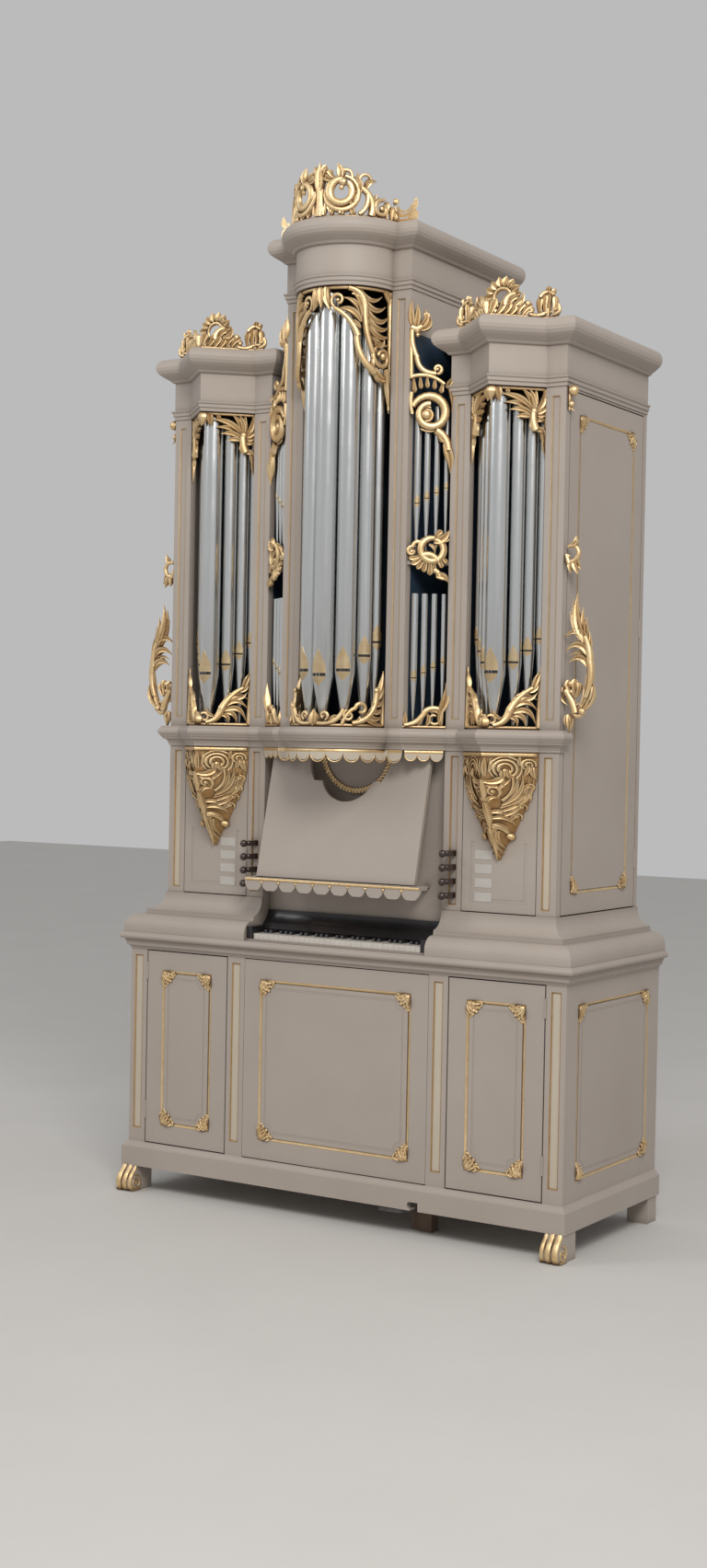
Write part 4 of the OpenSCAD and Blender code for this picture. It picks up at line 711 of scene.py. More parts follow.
CENTRE_CREST = [
    stem(-2, 5, 398, 5, 0, 15, count=24), leaf(0, 96, 0, 206, 0, 42), lobe(2, 108, 24, 196, 0.06, 28),
    lobe(2, 100, 36, 172, 0.12, 26), stem(0, 10, 0, 118, 0, 26, 22), stem(16, 12, 10, 108, 0.06, 18, 16),
    lobe(6, 90, 44, 20, 0.12, 24), lobe(26, 60, 20, 14, 0, 20), curl(82, 96, 44, 80, 330, 36, 0.95),
    curl(86, 92, 64, 170, 268, 26, 0.95), curl(82, 96, 52, 60, 330, 8, 0.95), bead(90, 130, 15),
    bead(84, 112, 10), leaf(50, 140, 10, 168, 0.14, 30), lobe(60, 146, 36, 178, 0.1, 22),
    leaf(80, 142, 68, 200, -0.1, 34), lobe(86, 140, 94, 182, 0, 22), stem(88, 172, 122, 140, 0.34, 15, 12),
    bead(122, 142, 9), lobe(60, 40, 44, 12, 0, 22), lobe(90, 34, 84, 10, 0, 26),
    lobe(118, 44, 130, 10, 0, 26), leaf(126, 30, 160, 112, 0.16, 28), leaf(150, 92, 128, 150, -0.2, 24),
    leaf(154, 100, 146, 168, 0.1, 22), curl(172, 138, 22, 196, -216, 15, 1),
    leaf(176, 108, 216, 138, 0.24, 24), leaf(172, 112, 196, 152, 0.1, 18),
    stem(196, 10, 158, 110, -0.2, 30, 22), stem(150, 14, 182, 86, -0.16, 18, 20),
    leaf(178, 74, 216, 96, -0.3, 22), leaf(186, 60, 214, 74, -0.3, 18),
    curl(238, 44, 31, 90, 330, 24, 0.55), curl(238, 44, 38, 110, 200, 8, 1), bead(240, 44, 11),
    lobe(208, 24, 200, 66, 0.1, 20), stem(222, 78, 252, 82, -0.2, 14, 12), lobe(262, 8, 270, 76, 0.1, 26),
    lobe(284, 8, 292, 62, 0.05, 26), leaf(292, 40, 272, 74, 0.2, 22), curl(350, 72, 43, 188, 152, 15, 1),
    curl(350, 73, 30, 190, 156, 9, 1), bead(312, 84, 12), leaf(386, 46, 397, 94, -0.12, 18),
    leaf(306, 8, 310, 58, 0.1, 26), leaf(326, 6, 318, 34, 0.1, 22), leaf(372, 6, 380, 36, -0.1, 22),
    leaf(392, 6, 392, 52, -0.1, 20), stem(298, 11, 398, 11, 0, 16, count=8),
]
SIDE_CREST = [
    stem(-2, 5, 262, 5, 0, 14, count=24), lobe(8, 6, 26, 60, 0, 30), lobe(28, 6, 56, 56, -0.1, 30),
    lobe(50, 6, 80, 52, -0.1, 28), lobe(74, 6, 100, 44, -0.1, 26), stem(62, 40, 98, 84, 0.2, 26, 14),
    lobe(76, 40, 110, 76, 0.16, 24), leaf(92, 48, 126, 92, -0.3, 24), lobe(96, 34, 124, 66, 0.1, 24),
    lobe(108, 10, 136, 56, 0.1, 28), lobe(124, 8, 164, 50, 0.12, 26), lobe(134, 8, 172, 30, 0.2, 22),
    bead(146, 52, 12), bead(160, 28, 10), stem(150, 14, 206, 18, -0.12, 20, 20),
    lobe(198, 6, 194, 78, 0.1, 24), lobe(212, 6, 210, 90, 0.04, 24), lobe(226, 6, 226, 94, 0, 24),
    lobe(240, 6, 246, 82, -0.1, 24), stem(190, 76, 246, 84, 0.3, 16, 14), lobe(214, 84, 222, 118, -0.1, 22),
    lobe(228, 84, 244, 108, -0.2, 18), curl(250, 42, 14, 60, -300, 12),
    stem(244, 12, 262, 50, -0.35, 18, 10), stem(204, 20, 246, 22, 0.1, 12),
]
CREST_SHELL = fuller(rosette(0, 80, 42, 78, -40, 260, 12, 27), 1.2) + [
    curl(0, 80, 35, 0, 360, 17, 1), curl(0, 80, 46, 0, 360, 6, 1), bead(-20, 52, 9), bead(-26, 74, 7),
    stem(-34, 4, -44, 52, 0.25, 26, 18), stem(34, 4, 44, 52, -0.25, 26, 18), lobe(-16, 2, -20, 46, 0, 28),
    lobe(16, 2, 20, 46, 0, 28), lobe(0, 2, 0, 48, 0, 28), lobe(-40, 4, -72, 40, -0.2, 28),
    lobe(40, 4, 72, 40, 0.2, 28),
]

# The wings at the corners: way out from the case, height from the foot of the pipe fields
WING = [
    leaf(27, 60, 29, -8, 0.05, 26), leaf(19, 56, 20, 12, -0.05, 18), leaf(36, 56, 38, 16, 0.06, 16),
    stem(12, 144, 54, 64, 0.06, 22, 28), leaf(20, 134, 52, 70, 0.1, 10), leaf(4, 152, 26, 92, -0.2, 20),
    stem(48, 62, 78, 62, -0.3, 20, 14), bead(80, 70, 13), curl(66, 84, 15, -70, 230, 11, 0.7),
    lobe(34, 120, 6, 160, 0.16, 24), lobe(40, 126, 24, 182, 0.1, 26), lobe(46, 126, 48, 186, -0.04, 26),
    lobe(50, 120, 68, 172, -0.14, 24), bead(14, 162, 10), bead(36, 168, 12), bead(58, 166, 10),
    bead(36, 140, 9), leaf(66, 76, 84, 158, -0.16, 22), leaf(72, 72, 98, 166, -0.2, 24),
    leaf(78, 72, 110, 190, -0.22, 24), stem(96, 120, 106, 252, -0.08, 20, 26),
    stem(104, 130, 111, 246, -0.07, 7, 6), leaf(90, 124, 96, 226, -0.05, 16),
    stem(107, 240, 86, 336, -0.06, 26, 22), leaf(111, 236, 92, 344, -0.08, 9),
    leaf(104, 224, 24, 244, -0.34, 30), leaf(106, 262, 10, 286, -0.34, 32),
    leaf(104, 240, 22, 266, -0.3, 18), leaf(100, 304, 4, 334, -0.36, 34), leaf(92, 308, 56, 490, 0.1, 34),
    leaf(88, 306, 40, 470, 0.1, 28), leaf(84, 312, 26, 428, 0.06, 24), leaf(96, 300, 78, 440, 0.06, 24),
    leaf(98, 306, 92, 404, 0.05, 20), leaf(102, 270, 104, 352, -0.05, 16),
]
WING_SCROLL = [
    curl(24, 72, 34, -150, 270, 20, 0.75), leaf(34, 44, 52, -4, 0, 26), leaf(20, 42, 24, -2, 0, 22),
    leaf(46, 60, 64, 12, -0.1, 18), stem(4, 66, 16, 34, 0, 18, 20), leaf(24, 96, 44, 132, -0.2, 22),
    bead(12, 60, 9),
]
WING_DROP = [
    bead(20, -16, 19), bead(13, -64, 12), stem(6, 0, 6, -86, 0, 12, 9), leaf(12, -40, 30, -92, -0.2, 12),
]

# The corbel under a pointed front: right half, way out from the arris, true height
SCALLOPS = ((134, 1664), (122, 1626), (106, 1590), (87, 1556))
CORBEL = [
    stem(2, 1779, 152, 1779, 0, 16), curl(66, 1728, 19, 236, -292, 13, 1),
    curl(66, 1728, 32, 232, -284, 12, 1), curl(66, 1728, 44, 228, -276, 10, 1), bead(66, 1722, 9),
    leaf(58, 1724, 54, 1688, 0.1, 22), leaf(74, 1724, 84, 1690, -0.1, 22),
    curl(130, 1744, 9, 240, -280, 9, 1), curl(130, 1744, 19, 236, -250, 10, 1),
    leaf(128, 1738, 112, 1700, 0.1, 18), leaf(140, 1736, 150, 1690, -0.1, 18),
    leaf(104, 1740, 104, 1776, 0, 14), leaf(8, 1700, 8, 1776, 0, 20), leaf(20, 1716, 22, 1774, -0.1, 14),
    lobe(6, 1684, 62, 1698, -0.16, 30), leaf(10, 1670, 84, 1704, -0.22, 18),
    leaf(50, 1606, 96, 1712, -0.16, 17), leaf(46, 1598, 112, 1712, -0.18, 17),
    leaf(40, 1590, 128, 1708, -0.2, 17), leaf(34, 1582, 142, 1700, -0.21, 17),
    leaf(28, 1574, 132, 1664, -0.16, 16), leaf(24, 1566, 118, 1634, -0.14, 16),
    leaf(20, 1558, 102, 1598, -0.12, 16), stem(52, 1614, 86, 1700, -0.14, 12, 8),
    curl(28, 1646, 21, 300, 330, 13, 0.5), bead(28, 1646, 8), leaf(42, 1656, 58, 1690, -0.2, 16),
    leaf(6, 1604, 46, 1622, 0.3, 18), leaf(0, 1690, 0, 1596, 0, 26), leaf(2, 1608, 0, 1500, 0, 30),
    leaf(6, 1570, 66, 1546, 0.24, 22), leaf(8, 1548, 74, 1520, 0.26, 20), leaf(10, 1528, 52, 1498, 0.2, 18),
    stem(8, 1516, 50, 1488, 0.2, 14, 12), bead(55, 1482, 14), leaf(0, 1520, 0, 1394, 0, 22),
    leaf(8, 1518, 12, 1400, -0.12, 20), leaf(16, 1512, 24, 1416, -0.16, 18),
    leaf(24, 1504, 34, 1436, -0.2, 16),
] + [part for x, z in SCALLOPS for part in (
    lobe(x - 28, z - 16, x, z + 6, 0.12, 22), curl(x - 4, z, 12, -60, 250, 8, 0.8), bead(x - 8, z, 6))]

# How far the shades lie behind their faces, the crests before theirs and the wings behind the front, and
# how high the shells stand over the roofs and the wings' scrolls over the chest
ROUND_IN, FACET_IN, FLAT_IN = 12, 16, 2
CENTRE_REACH, SIDE_REACH, SHELL_REACH, SHELL_UP = 10, 14, 58, 4
WING_BACK, WING_SCROLL_UP = 16, 562
# The boards that close the upper back: their near and far faces, their laps over what they join, and
# how far they stay below the towers' roofs
BOARD_LEVELS, ROOF_LAP, TOWER_LAP, HEAD_LAP, BOARD_DROP = (2, 20), 1, 24, 2, 45


def field_carvings():
    """Shades over and under each pipe field, and the scrolls of the flats."""
    bulge = on_bulge(BULGE - ROUND_IN)
    shades = [(mirrored(CENTRE_SHADE), bulge, CENTRE_TOP), (mirrored(CENTRE_SILL), bulge, CHEST_Z)]
    flats = []
    for side in (1, -1):
        for way in (1, -1):
            facet = on_facet(side, way, FACET_IN)
            shades += [(SIDE_SHADE, facet, SIDE_TOP), (SIDE_SILL, facet, CHEST_Z)]
        flat = on_flat(side, FLAT_IN)
        flats += [(FLAT_TOP, flat, SIDE_TOP), (FLAT_MIDDLE, flat, STOREY_Z), (FLAT_FOOT, flat, CHEST_Z)]
    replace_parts(carve("shade_carvings", shades), "tower_shades")
    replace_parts(carve("flat_scrolls", flats), "flat_carvings")


def crest_carvings():
    """The crests of the three towers, the wings at the corners and the corbels."""
    centre = [(mirrored(CENTRE_CREST), on_bulge(BULGE + CENTRE_REACH), CENTRE_ROOF)]
    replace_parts(carve("centre_crest_carving", centre), "centre_crest")
    crests, wings, corbels = [], [], []
    for side in (1, -1):
        arris = on_front(side, TOWER_MID, CASE_Y - SHELL_REACH)
        crests += [(mirrored(SIDE_CREST), on_cornice(side, SIDE_REACH), SIDE_ROOF),
                   (CREST_SHELL, arris, SIDE_ROOF + SHELL_UP)]
        corner = on_front(side, CASE_X, CASE_Y + WING_BACK)
        wings += [(WING, corner, CHEST_Z), (WING_SCROLL, corner, CHEST_Z + WING_SCROLL_UP),
                  (WING_DROP, corner, SIDE_TOP)]
        corbels.append((mirrored(CORBEL), on_corbel(side), 0))
    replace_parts(carve("side_crest_carving", crests), "side_crests")
    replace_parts(carve("wing_carving", wings, relief=1.1), "side_wings")
    carve("corbel_leaves", corbels, relief=1.5)


def back_boards():
    """Boards behind the heads of the flats, where the towers' entablatures stand back from the roofs."""
    back = edge("upper_back", 1, 1) + MID_Y
    gap = (edge("flat_roofs", 1, 0) - ROOF_LAP, TOWER_IN + TOWER_LAP, SIDE_TOP - HEAD_LAP,
           SIDE_ROOF - BOARD_DROP)
    boards = [slab(gap, *BOARD_LEVELS, on_front(side, 0, back)) for side in (1, -1)]
    finish_piece("back_boards", boards, STONE_PAINT, slot="case_paint")


field_carvings()
crest_carvings()
back_boards()

# Gilded frames in the grooves of the panels, with a shell in each corner

# A bevel's pairs are the way in from the frame's edge and the height over the panel's face
FRAME_BEVEL = [(0.3, -4.8), (0.3, 0.5), (2.6, 1.2), (5.5, -0.8), (11.2, -4.0), (11.2, -4.8)]
STRIP_BEVEL = [(0.2, -4.8), (0.2, 0.3), (1.2, 0.5), (4.6, -4.0), (4.6, -4.8)]
# Each frame's left, right, foot and top
DOOR, CENTRE_PANEL = (572.5, 812.0, 275.0, 893.0), (-337.5, 337.5, 274.0, 894.0)
END_PANEL, UPPER_PANEL = (96.0, 699.0, 270.0, 898.0), (213.0, 688.0, 1279.0, 3008.0)
# The boards under the shells, the fields inside the frames, and the strips with their edges
GROUND, GROUND_LEVELS, FIELD_LEVELS = 46, (-1.0, 1.6), (-4.9, -1.0)
STRIP, STRIP_EDGE, STRIP_LEVELS = 34, 4.4, (-4.9, -4.2)
# The pedestal panels: their width, their field's distance from both sides, its foot and top
PEDESTAL, PEDESTAL_IN, PEDESTAL_FIELD = 303, 36, (1240, 1459)
DOORS = ((1, "right", "base_door_right"), (-1, "left", "base_door_left"))


def shell(x, y, across, up):
    """A carved shell that fans out from a frame's corner."""
    start = {(1, 1): 0, (-1, 1): 90, (-1, -1): 180, (1, -1): 270}[across, up]
    flutes = fuller(rosette(x, y, 14, 64, start + 9, 72, 5, 24), 1.3)
    ends = [curl(x + across * a, y + up * b, 11, start, 330, 10) for a, b in ((54, 10), (10, 54))]
    tips = [bead(*(Vector((x, y)) + 58 * spoke(start + a)), 6) for a in (27, 45, 63)]
    rib = leaf(x + across * 5, y + up * 5, x + across * 46, y + up * 46, 0, 17)
    return flutes + ends + tips + [bead(x + across * 15, y + up * 15, 12), rib]


def shells(sides):
    """A shell in each corner of a panel."""
    left, right, foot, top = sides
    return (shell(left, foot, 1, 1) + shell(right, foot, -1, 1) + shell(right, top, -1, -1)
            + shell(left, top, 1, -1))


def grounds(sides, surface):
    """Four small boards that the shells of a frame are carved on, in a darker gold: painted shade for the
    gaps between the shells' flutes.
    """
    left, right, foot, top = sides
    return [slab((a, a + GROUND, b, b + GROUND), *GROUND_LEVELS, surface)
            for a in (left, right - GROUND) for b in (foot, top - GROUND)]


def within(surface, sides):
    """The same surface, with everything held within a rectangle."""
    left, right, foot, top = sides

    def place(along, height, relief):
        return surface(max(left, min(right, along)), max(foot, min(top, height)), relief)
    return place


def smaller(sides, across, up):
    """A rectangle drawn in from its sides and from its foot and top."""
    left, right, foot, top = sides
    return left + across, right - across, foot + up, top - up


def panel_frames():
    """The frames of the base's doors and panels and of the upper sides."""
    for side, hand, body in DOORS:
        front = on_front(side, 0, 0)
        carve("door_frame_" + hand, [(shells(DOOR), within(front, DOOR), 0)], relief=0.8,
              more=[fillet(DOOR, FRAME_BEVEL, front)], body=body)
        finish_piece("shell_ground_" + hand, grounds(DOOR, front), SHADED_GOLD, body=body)
    panels = [(CENTRE_PANEL, on_front(1, 0, 0))]
    for side in (1, -1):
        panels += [(END_PANEL, on_side(side, BASE_X)), (UPPER_PANEL, on_side(side, CASE_X))]
    laid, more, under = [], [], []
    for sides, face in panels:
        laid.append((shells(sides), within(face, sides), 0))
        more.append(fillet(sides, FRAME_BEVEL, face))
        under += grounds(sides, face)
    carve("panel_frames", laid, relief=0.8, more=more)
    finish_piece("shell_grounds", under, SHADED_GOLD)


def field_grooves():
    """The scooped inner fields are outlined only faintly: paint nearly fills their grooves."""
    for side, hand, body in DOORS:
        field = slab(smaller(DOOR, 26.5, 27), *FIELD_LEVELS, on_front(side, 0, 0))
        finish_piece("field_" + hand, [field], STONE_PAINT, body=body, slot="case_paint")
    reach = edge("pedestal_panels", 1, 0)
    pedestal = (reach - PEDESTAL + PEDESTAL_IN, reach - PEDESTAL_IN, *PEDESTAL_FIELD)
    more = [slab(smaller(CENTRE_PANEL, 26.5, 27), *FIELD_LEVELS, on_front(1, 0, 0))]
    more += [slab(smaller(END_PANEL, 26, 27), *FIELD_LEVELS, on_side(side, BASE_X)) for side in (1, -1)]
    more += [slab(pedestal, *FIELD_LEVELS, on_front(side, 0, CASE_Y)) for side in (1, -1)]
    finish_piece("field_ground", more, STONE_PAINT, slot="case_paint")


def pilaster_strips():
    """Sunk strips of the pilasters: gilded edges round a cream or painted field."""
    base, jamb, tower, centre = (250, 948), (1222, 1772), (1904, 3063), (1904, 3452)
    near, far = (PILASTER - STRIP) / 2, (PILASTER + STRIP) / 2
    edges, pale_edges, fields = [], [], []
    for side in (1, -1):
        for left, right, (foot, top), depth, painted_field in (
                (911, 951, base, 0, False), (433, 473.5, base, 0, False),
                (812.5, 846.5, jamb, CASE_Y, False),
                (KNOB_X - STRIP / 2, KNOB_X + STRIP / 2, jamb, CASE_Y, True),
                (TOWER_IN + near, TOWER_IN + far, tower, CASE_Y, True),
                (CASE_X - far, CASE_X - near, tower, CASE_Y, True),
                (BULGE + near, BULGE + far, centre, CENTRE_Y, True)):
            sides, front = (left, right, foot, top), on_front(side, 0, depth)
            (edges if top < tower[0] else pale_edges).append(fillet(sides, STRIP_BEVEL, front))
            if not painted_field:
                fields.append(slab(smaller(sides, STRIP_EDGE, STRIP_EDGE), *STRIP_LEVELS, front))
    finish_piece("strip_edges", edges, STRIP_GOLD, angle=20)
    finish_piece("strip_fillets", pale_edges, PALE_GOLD, angle=20)
    finish_piece("strip_fields", fields, CREAM_PAINT, slot="cream_paint")


# Display pipes, with gilded lips over and under a mouth whose shade is painted: a dark plate

# A lip's pairs are the way from the mouth and the half width, as shares of the pipe's diameter
UPPER_LIP = [(0, 0.37), (0.12, 0.385), (0.28, 0.375), (0.44, 0.335), (0.6, 0.27), (0.74, 0.19), (0.88, 0.115),
             (1.0, 0.05), (1.08, 0.012)]
LOWER_LIP = [(0, 0.36), (0.05, 0.362), (0.12, 0.33), (0.22, 0.24), (0.32, 0.13), (0.4, 0.05), (0.45, 0.012)]
# A mouth's height and half width as such shares, and how proud the lips and the dark plate of painted mouth
# shade lie
MOUTH_HIGH, MOUTH_HALF, LIP_PROUD, MOUTH_SHADE_PROUD = 0.14, 0.37, 1.1, 0.6
# The metal's thickness, the faces round a pipe, the gap to the next, and how far tops stay below the field's
METAL, PIPE_FACES, PIPE_GAP, PIPE_DROP = 1.4, 40, 2, 20
# The largest pipe's diameter in each field, how far the pipes stand back, and how their mouths rise and
# their tops or sizes fall from one pipe to the next
TOWER_PIPE, FIRST_BACK, NEXT_BACK = 78, 87, 79
FIRST_MOUTH, NEXT_MOUTH, NEXT_RISE, TOWER_FALL = 202, 196, 44, 30
CENTRE_PIPE, RING_BACK, CENTRE_MOUTH, CENTRE_RISES, CENTRE_FALL = 82, 73, 188, (0, 18, 74, 128), 60
FLAT_PIPE, FLAT_FALL, FLAT_BACK, FLAT_MOUTHS, FLAT_RISE = 28, 2.4, 30, (186, 210), 20


def on_pipe(x, y, turn, radius_at, proud):
    """Round the front of one pipe, a little proud of its metal."""
    def place(along, height, relief):
        radius = radius_at(height)
        angle = turn + along / radius
        out = radius + (proud if relief > 0 else -0.8)
        return world(x + out * math.sin(angle), y - out * math.cos(angle), height)
    return place


def display_pipe(x, y, turn, size, foot, mouth, top):
    """One pipe, with its lips and the painted shade of its mouth: gives the tube, the gilded strokes and the
    dark plate.
    """
    radius, neck, low = size / 2, foot + mouth - 2, foot + mouth
    outline = [(radius * 0.18, foot), (radius, neck), (radius, top), (radius - METAL, top),
               (radius - METAL, neck), (radius * 0.1, foot + 3)]

    def place(step, out, height):
        angle = step * math.tau / PIPE_FACES
        return world(x + out * math.sin(angle), y - out * math.cos(angle), height)

    def radius_at(height):
        return radius * min(1.0, 0.18 + 0.82 * max(0.0, height - foot) / (neck - foot))

    slit, half = size * MOUTH_HIGH, size * MOUTH_HALF
    upper = plate(0, [(low + slit + h * size, w * size) for h, w in UPPER_LIP])
    lower = plate(0, [(low - h * size, w * size) for h, w in LOWER_LIP])
    # The dark plate: painted shade in the mouth, where the pipe's inside would lie in shade
    dark = plate(0, [(low - 0.5, half), (low + slit / 2, half), (low + slit + 0.5, half)])
    lips, slot = (on_pipe(x, y, turn, radius_at, proud) for proud in (LIP_PROUD, MOUTH_SHADE_PROUD))
    return loop(PIPE_FACES, outline, place), ([upper, lower], lips, 0), ([dark], slot, 0)


def pipe_field(name, node, pipes):
    """A field of pipes in place of its node."""
    tubes, lips, mouths = zip(*(display_pipe(*pipe) for pipe in pipes))
    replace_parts(finish_piece(name, tubes, TIN, slot="pipe_metal"), node)
    carve(name + "_lips", lips, finish=LIP_GOLD)
    # Painted shade: a dark plate over each mouth
    carve(name + "_mouth_shades", mouths, finish=EBONY_AND_MOUTH_SHADE, slot="dark_wood")


def tower_pipes(side):
    """The pipes of a pointed tower: the largest behind the arris, and three back along each face."""
    sizes = [TOWER_PIPE * share for share in (1, 0.68, 0.58, 0.52)]
    first = CASE_Y - ARRIS + FIRST_BACK
    pipes = [(side * TOWER_MID, first, 0, sizes[0], CHEST_Z, FIRST_MOUTH, SIDE_TOP - PIPE_DROP)]
    for way in (1, -1):
        for i in (1, 2, 3):
            along = sum(sizes[k] / 2 + sizes[k - 1] / 2 + PIPE_GAP for k in range(1, i + 1)) + 8
            x = TOWER_MID + way * along * math.sin(FACET)
            y = CASE_Y - ARRIS + NEXT_BACK + along * math.cos(FACET)
            pipes.append((side * x, y, side * way * 0.3, sizes[i], CHEST_Z, NEXT_MOUTH + NEXT_RISE * i,
                          SIDE_TOP - PIPE_DROP - TOWER_FALL * i))
    return pipes


def centre_pipes():
    """The seven pipes of the round tower, their fronts on one ring."""
    sizes = [CENTRE_PIPE * share for share in (1, 0.93, 0.8, 0.7)]
    ring, turn, pipes = BULGE - RING_BACK, 0.0, []
    for i, rise in enumerate(CENTRE_RISES):
        if i:
            pair = (sizes[i] + sizes[i - 1]) / 2
            turn += 2 * math.asin((pair + PIPE_GAP) / 2 / (ring + (CENTRE_PIPE - pair) / 2))
        out = ring + (CENTRE_PIPE - sizes[i]) / 2
        for way in ((1, -1) if i else (1,)):
            pipes.append((way * out * math.sin(turn), CENTRE_Y - out * math.cos(turn), way * turn / 2,
                          sizes[i], CHEST_Z, CENTRE_MOUTH + rise,
                          CENTRE_TOP - PIPE_DROP - CENTRE_FALL * i))
    return pipes


def flat_pipes(side):
    """The two rows of small pipes in a flat, falling in size outwards."""
    first = FLAT_BACK / math.tan(FLAT) + 18
    rows = ((CHEST_Z, FLAT_MOUTHS[0], CHEST_Z + 500), (STOREY_Z, FLAT_MOUTHS[1], SIDE_ROOF - 275))
    pipes = []
    for i in range(4):
        size, along = FLAT_PIPE - FLAT_FALL * i, first + i * (FLAT_LENGTH - first - 12.6) / 3
        x = CENTRE_X + along * math.sin(FLAT) - FLAT_BACK * math.cos(FLAT)
        y = CENTRE_Y + along * math.cos(FLAT) + FLAT_BACK * math.sin(FLAT)
        for foot, mouth, top in rows:
            pipes.append((side * x, y, side * (math.pi / 2 - FLAT), size, foot, mouth + FLAT_RISE * i, top))
    return pipes


def display_pipes():
    """The pipes stand as in the case: in the pointed towers, round the centre, and in the flats."""
    pipe_field("tower_pipes", "side_tower_pipes", tower_pipes(1) + tower_pipes(-1))
    pipe_field("centre_pipes", "centre_tower_pipes", centre_pipes())
    pipe_field("flat_row_pipes", "flat_pipes", flat_pipes(1) + flat_pipes(-1))


# Smaller gilding: feet, hanging, ledge and pendant

# Down a foot's front: the way down its line, the depth and the height
FOOT_LINE = [(0, -14, 99), (12, -20, 89), (26, -30, 78), (44, -43, 66), (62, -52, 50), (80, -55, 32),
             (97, -50, 15), (110, -42, 4)]
CHEEK_OUT, ROPE_TURNS, ROPE_IN, ROPE_OUT = 37, 34, 145, 161
# The hanging: its reach before the face, how far it stops short of the ends, and its number of lobes
HANG_REACH, HANG_END, HANG_LOBES = 8, 14, 12
FLAT_REACH, FLAT_END, FLAT_LOBES = 6, 8, 3


def on_foot(side):
    """Down the curved front of a foot: the way along runs across it, the height down its line."""
    def place(along, height, relief):
        down = max(0.0, min(110.0, -height))
        for (s0, y0, z0), (s1, y1, z1) in zip(FOOT_LINE, FOOT_LINE[1:]):
            if down <= s1:
                break
        share = (down - s0) / (s1 - s0)
        length = math.hypot(y1 - y0, z1 - z0)
        y = y0 + (y1 - y0) * share + relief * (z1 - z0) / length
        z = z0 + (z1 - z0) * share - relief * (y1 - y0) / length
        return world(side * (FOOT_X + along), y, max(0.5, z))
    return place


def foot_carving():
    """Ridges down the front of each foot, and a scroll on both of its cheeks."""
    laid = []
    for side in (1, -1):
        ridges = [stem(a, -2, a, -106, 0, w, w + 2) for a, w in ((-29, 16), (-5, 22), (23, 24))]
        laid.append((ridges + [stem(-35, -100, 34, -100, 0, 13)], on_foot(side), 0))
        for face, out in ((FOOT_X + CHEEK_OUT, 1), (FOOT_X - CHEEK_OUT, -1)):
            laid.append(([curl(-23, 33, 31, 100, -470, 13, 0.3), bead(-23, 33, 7), stem(-48, 5, 4, 5, 0, 9)],
                         on_side(side, face, out), 0))
    return laid


def hanging_row(start, width, count):
    """Round-ended lobes side by side under the impost, and the gilded rims of their ends."""
    outline = [(-3, width / 2), (-18, width / 2), (-27, width * 0.45), (-35, width * 0.34),
               (-41, width * 0.18), (-43, 1)]
    middles = [start + width * (i + 0.5) for i in range(count)]
    rims = [curl(middle, -18, width / 2 - 1.5, 180, 180, 5.5, 1) for middle in middles]
    return [plate(middle, outline) for middle in middles], rims


def hangings():
    """The lobes that hang round the centre and under both flats, and their gilding."""
    radius = BULGE + HANG_REACH
    front, half = on_bulge(radius), (math.pi / 2) * radius + PILASTER - HANG_END
    lobes, rims = hanging_row(-half, half / HANG_LOBES * 2, HANG_LOBES)
    hanging = [(lobes, front, IMPOST_Z)]
    laid = [([stem(0, -8, way * half, -8, 0, 13, count=40) for way in (1, -1)] + rims, front, IMPOST_Z)]
    for side in (1, -1):
        flat = on_flat(side, -FLAT_REACH)
        lobes, rims = hanging_row(FLAT_END, (FLAT_LENGTH - 2 * FLAT_END) / FLAT_LOBES, FLAT_LOBES)
        hanging.append((lobes, flat, IMPOST_Z))
        laid.append(([stem(FLAT_END, -8, FLAT_LENGTH - FLAT_END, -8, 0, 13)] + rims, flat, IMPOST_Z))
    return hanging, laid


def ledge_strip():
    """A rounded strip with beads under it, along the desk's ledge."""
    half = edge("desk_ledge", 1, 0)
    strip = [stem(-half + 2, -7, half - 2, -7, 0, 11)]
    strip += [bead(-half + (i + 1) * half / 5, -18, 6) for i in range(9)]
    return strip, on_front(1, 0, edge("desk_ledge", 0, 1) + MID_Y), edge("desk_ledge", 1, 2)


def pendant_rope():
    """A twisted rope round the half circle of the pendant."""
    rope = []
    for i in range(ROPE_TURNS):
        a, b = (math.radians(180 + (i + k) * 180 / ROPE_TURNS) for k in (0.05, 1.2))
        rope.append(stem(ROPE_IN * math.cos(a), ROPE_IN * math.sin(a), ROPE_OUT * math.cos(b),
                         ROPE_OUT * math.sin(b), 0.1, 13))
    return rope, on_front(1, 0, edge("pendant", 0, 1) + MID_Y + 2.5), IMPOST_Z - 8


def small_gilding():
    """The feet, the hanging lobes and their rims, the ledge's strip and the pendant's rope."""
    carve("feet_gilding", foot_carving(), relief=0.75)
    hanging, laid = hangings()
    lobes = carve("hanging_lobes", hanging, relief=0.16, finish=CREAM_PAINT, slot="cream_paint")
    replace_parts(lobes, "lambrequin")
    carve("small_gilding", laid + [ledge_strip(), pendant_rope()], relief=0.75)


panel_frames()
field_grooves()
pilaster_strips()
display_pipes()
small_gilding()
for held in SECTIONS.values():
    bpy.data.objects.remove(held)


# Floor, light and camera

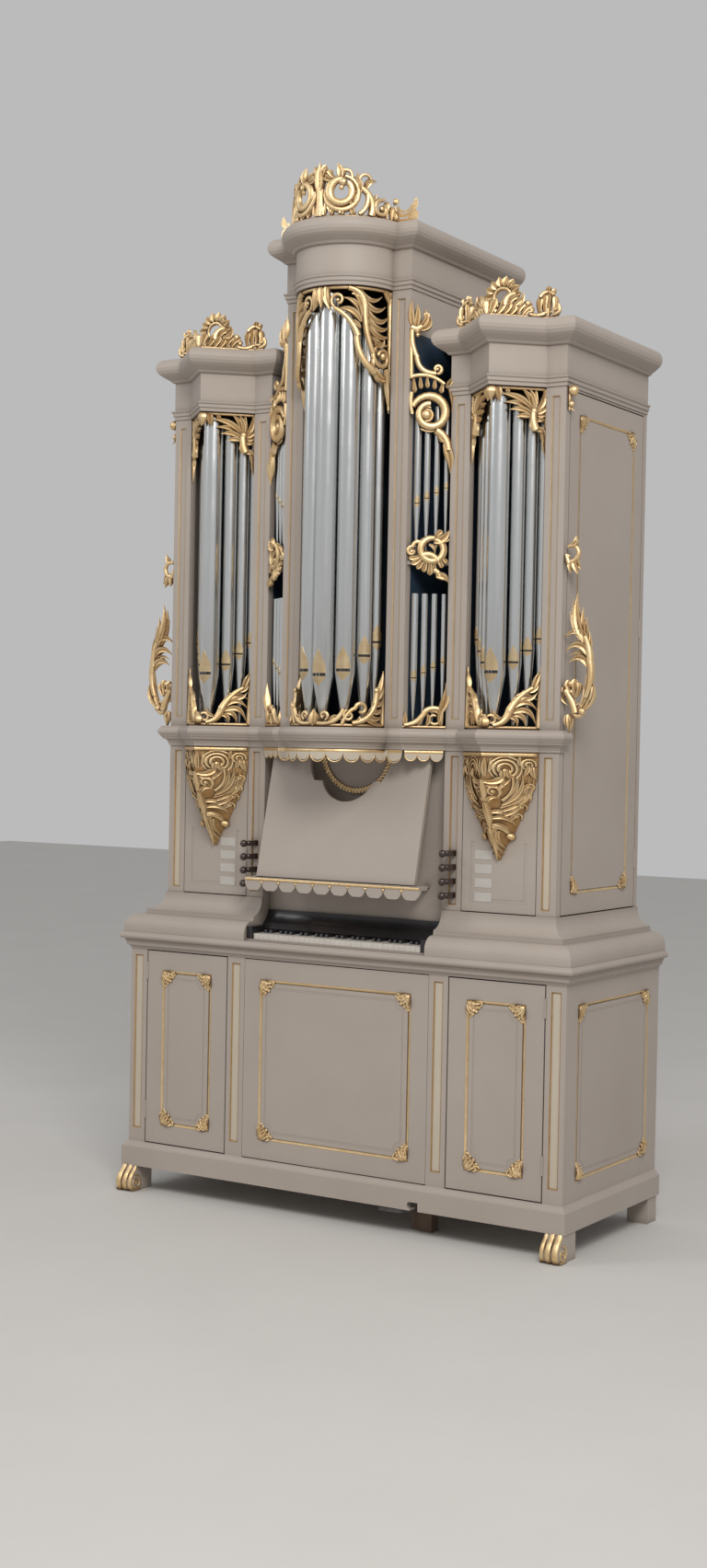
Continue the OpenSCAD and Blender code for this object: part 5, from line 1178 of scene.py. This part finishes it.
def floor_finish(name, colour):
    """A plain dull floor, a little uneven in tone."""
    made, tree, body = material(name, Roughness=0.8)
    cloud = use(tree, CLOUD, patch_size=1.5, speck_size=90.0)
    shade = tuple(0.96 * part for part in colour)
    tree.links.new(mix(tree, cloud.outputs["Patches"], colour, shade), body.inputs["Base Color"])
    return made


bpy.ops.mesh.primitive_plane_add(size=40, location=(0, 0, 0))
floor = bpy.context.object
floor.name = "floor"
floor.data.materials.append(floor_finish("pale_floor", (0.62, 0.60, 0.57)))

studio = bpy.data.worlds.new("studio")
bpy.context.scene.world = studio
studio.use_nodes = True
backdrop = studio.node_tree.nodes["Background"]
backdrop.inputs["Color"].default_value = (0.80, 0.80, 0.81, 1)
backdrop.inputs["Strength"].default_value = 0.62


def lamp(name, place, aim, size, power, colour):
    """A window's light: a rectangle turned towards a point."""
    bpy.ops.object.light_add(type="AREA", location=place)
    made = bpy.context.object
    made.name = name
    made.data.shape = "RECTANGLE"
    made.data.size, made.data.size_y = size
    made.data.energy = power
    made.data.color = colour
    made.rotation_euler = (Vector(aim) - Vector(place)).to_track_quat("-Z", "Y").to_euler()


lamp("key_window", (4.4, -5.4, 6.6), (0, 0, 2.6), (3.0, 3.0), 390, (1.0, 0.985, 0.96))
lamp("left_window", (-5.0, -5.0, 6.0), (0, 0, 2.8), (2.0, 3.0), 100, (0.95, 0.98, 1.0))

# The camera stands where the photograph was taken: to the right, at eye level
EYE = Vector((4.0373, -6.5321, 1.7990))
TURN, TILT, ROLL = -0.5651, -0.0190, 0.0190
FOCAL_PIXELS, PHOTO_HEIGHT, SENSOR = 2152.75, 1704, 36.0
bpy.ops.object.camera_add()
camera = bpy.context.object
camera.name = "camera"
camera.matrix_world = (Matrix.Translation(EYE) @ Matrix.Rotation(-TURN, 4, "Z")
                       @ Matrix.Rotation(math.pi / 2 + TILT, 4, "X") @ Matrix.Rotation(ROLL, 4, "Z"))
camera.data.sensor_fit = "VERTICAL"
camera.data.sensor_height = SENSOR
camera.data.lens = FOCAL_PIXELS / PHOTO_HEIGHT * SENSOR
bpy.context.scene.camera = camera
bpy.context.scene.view_settings.view_transform = "Standard"
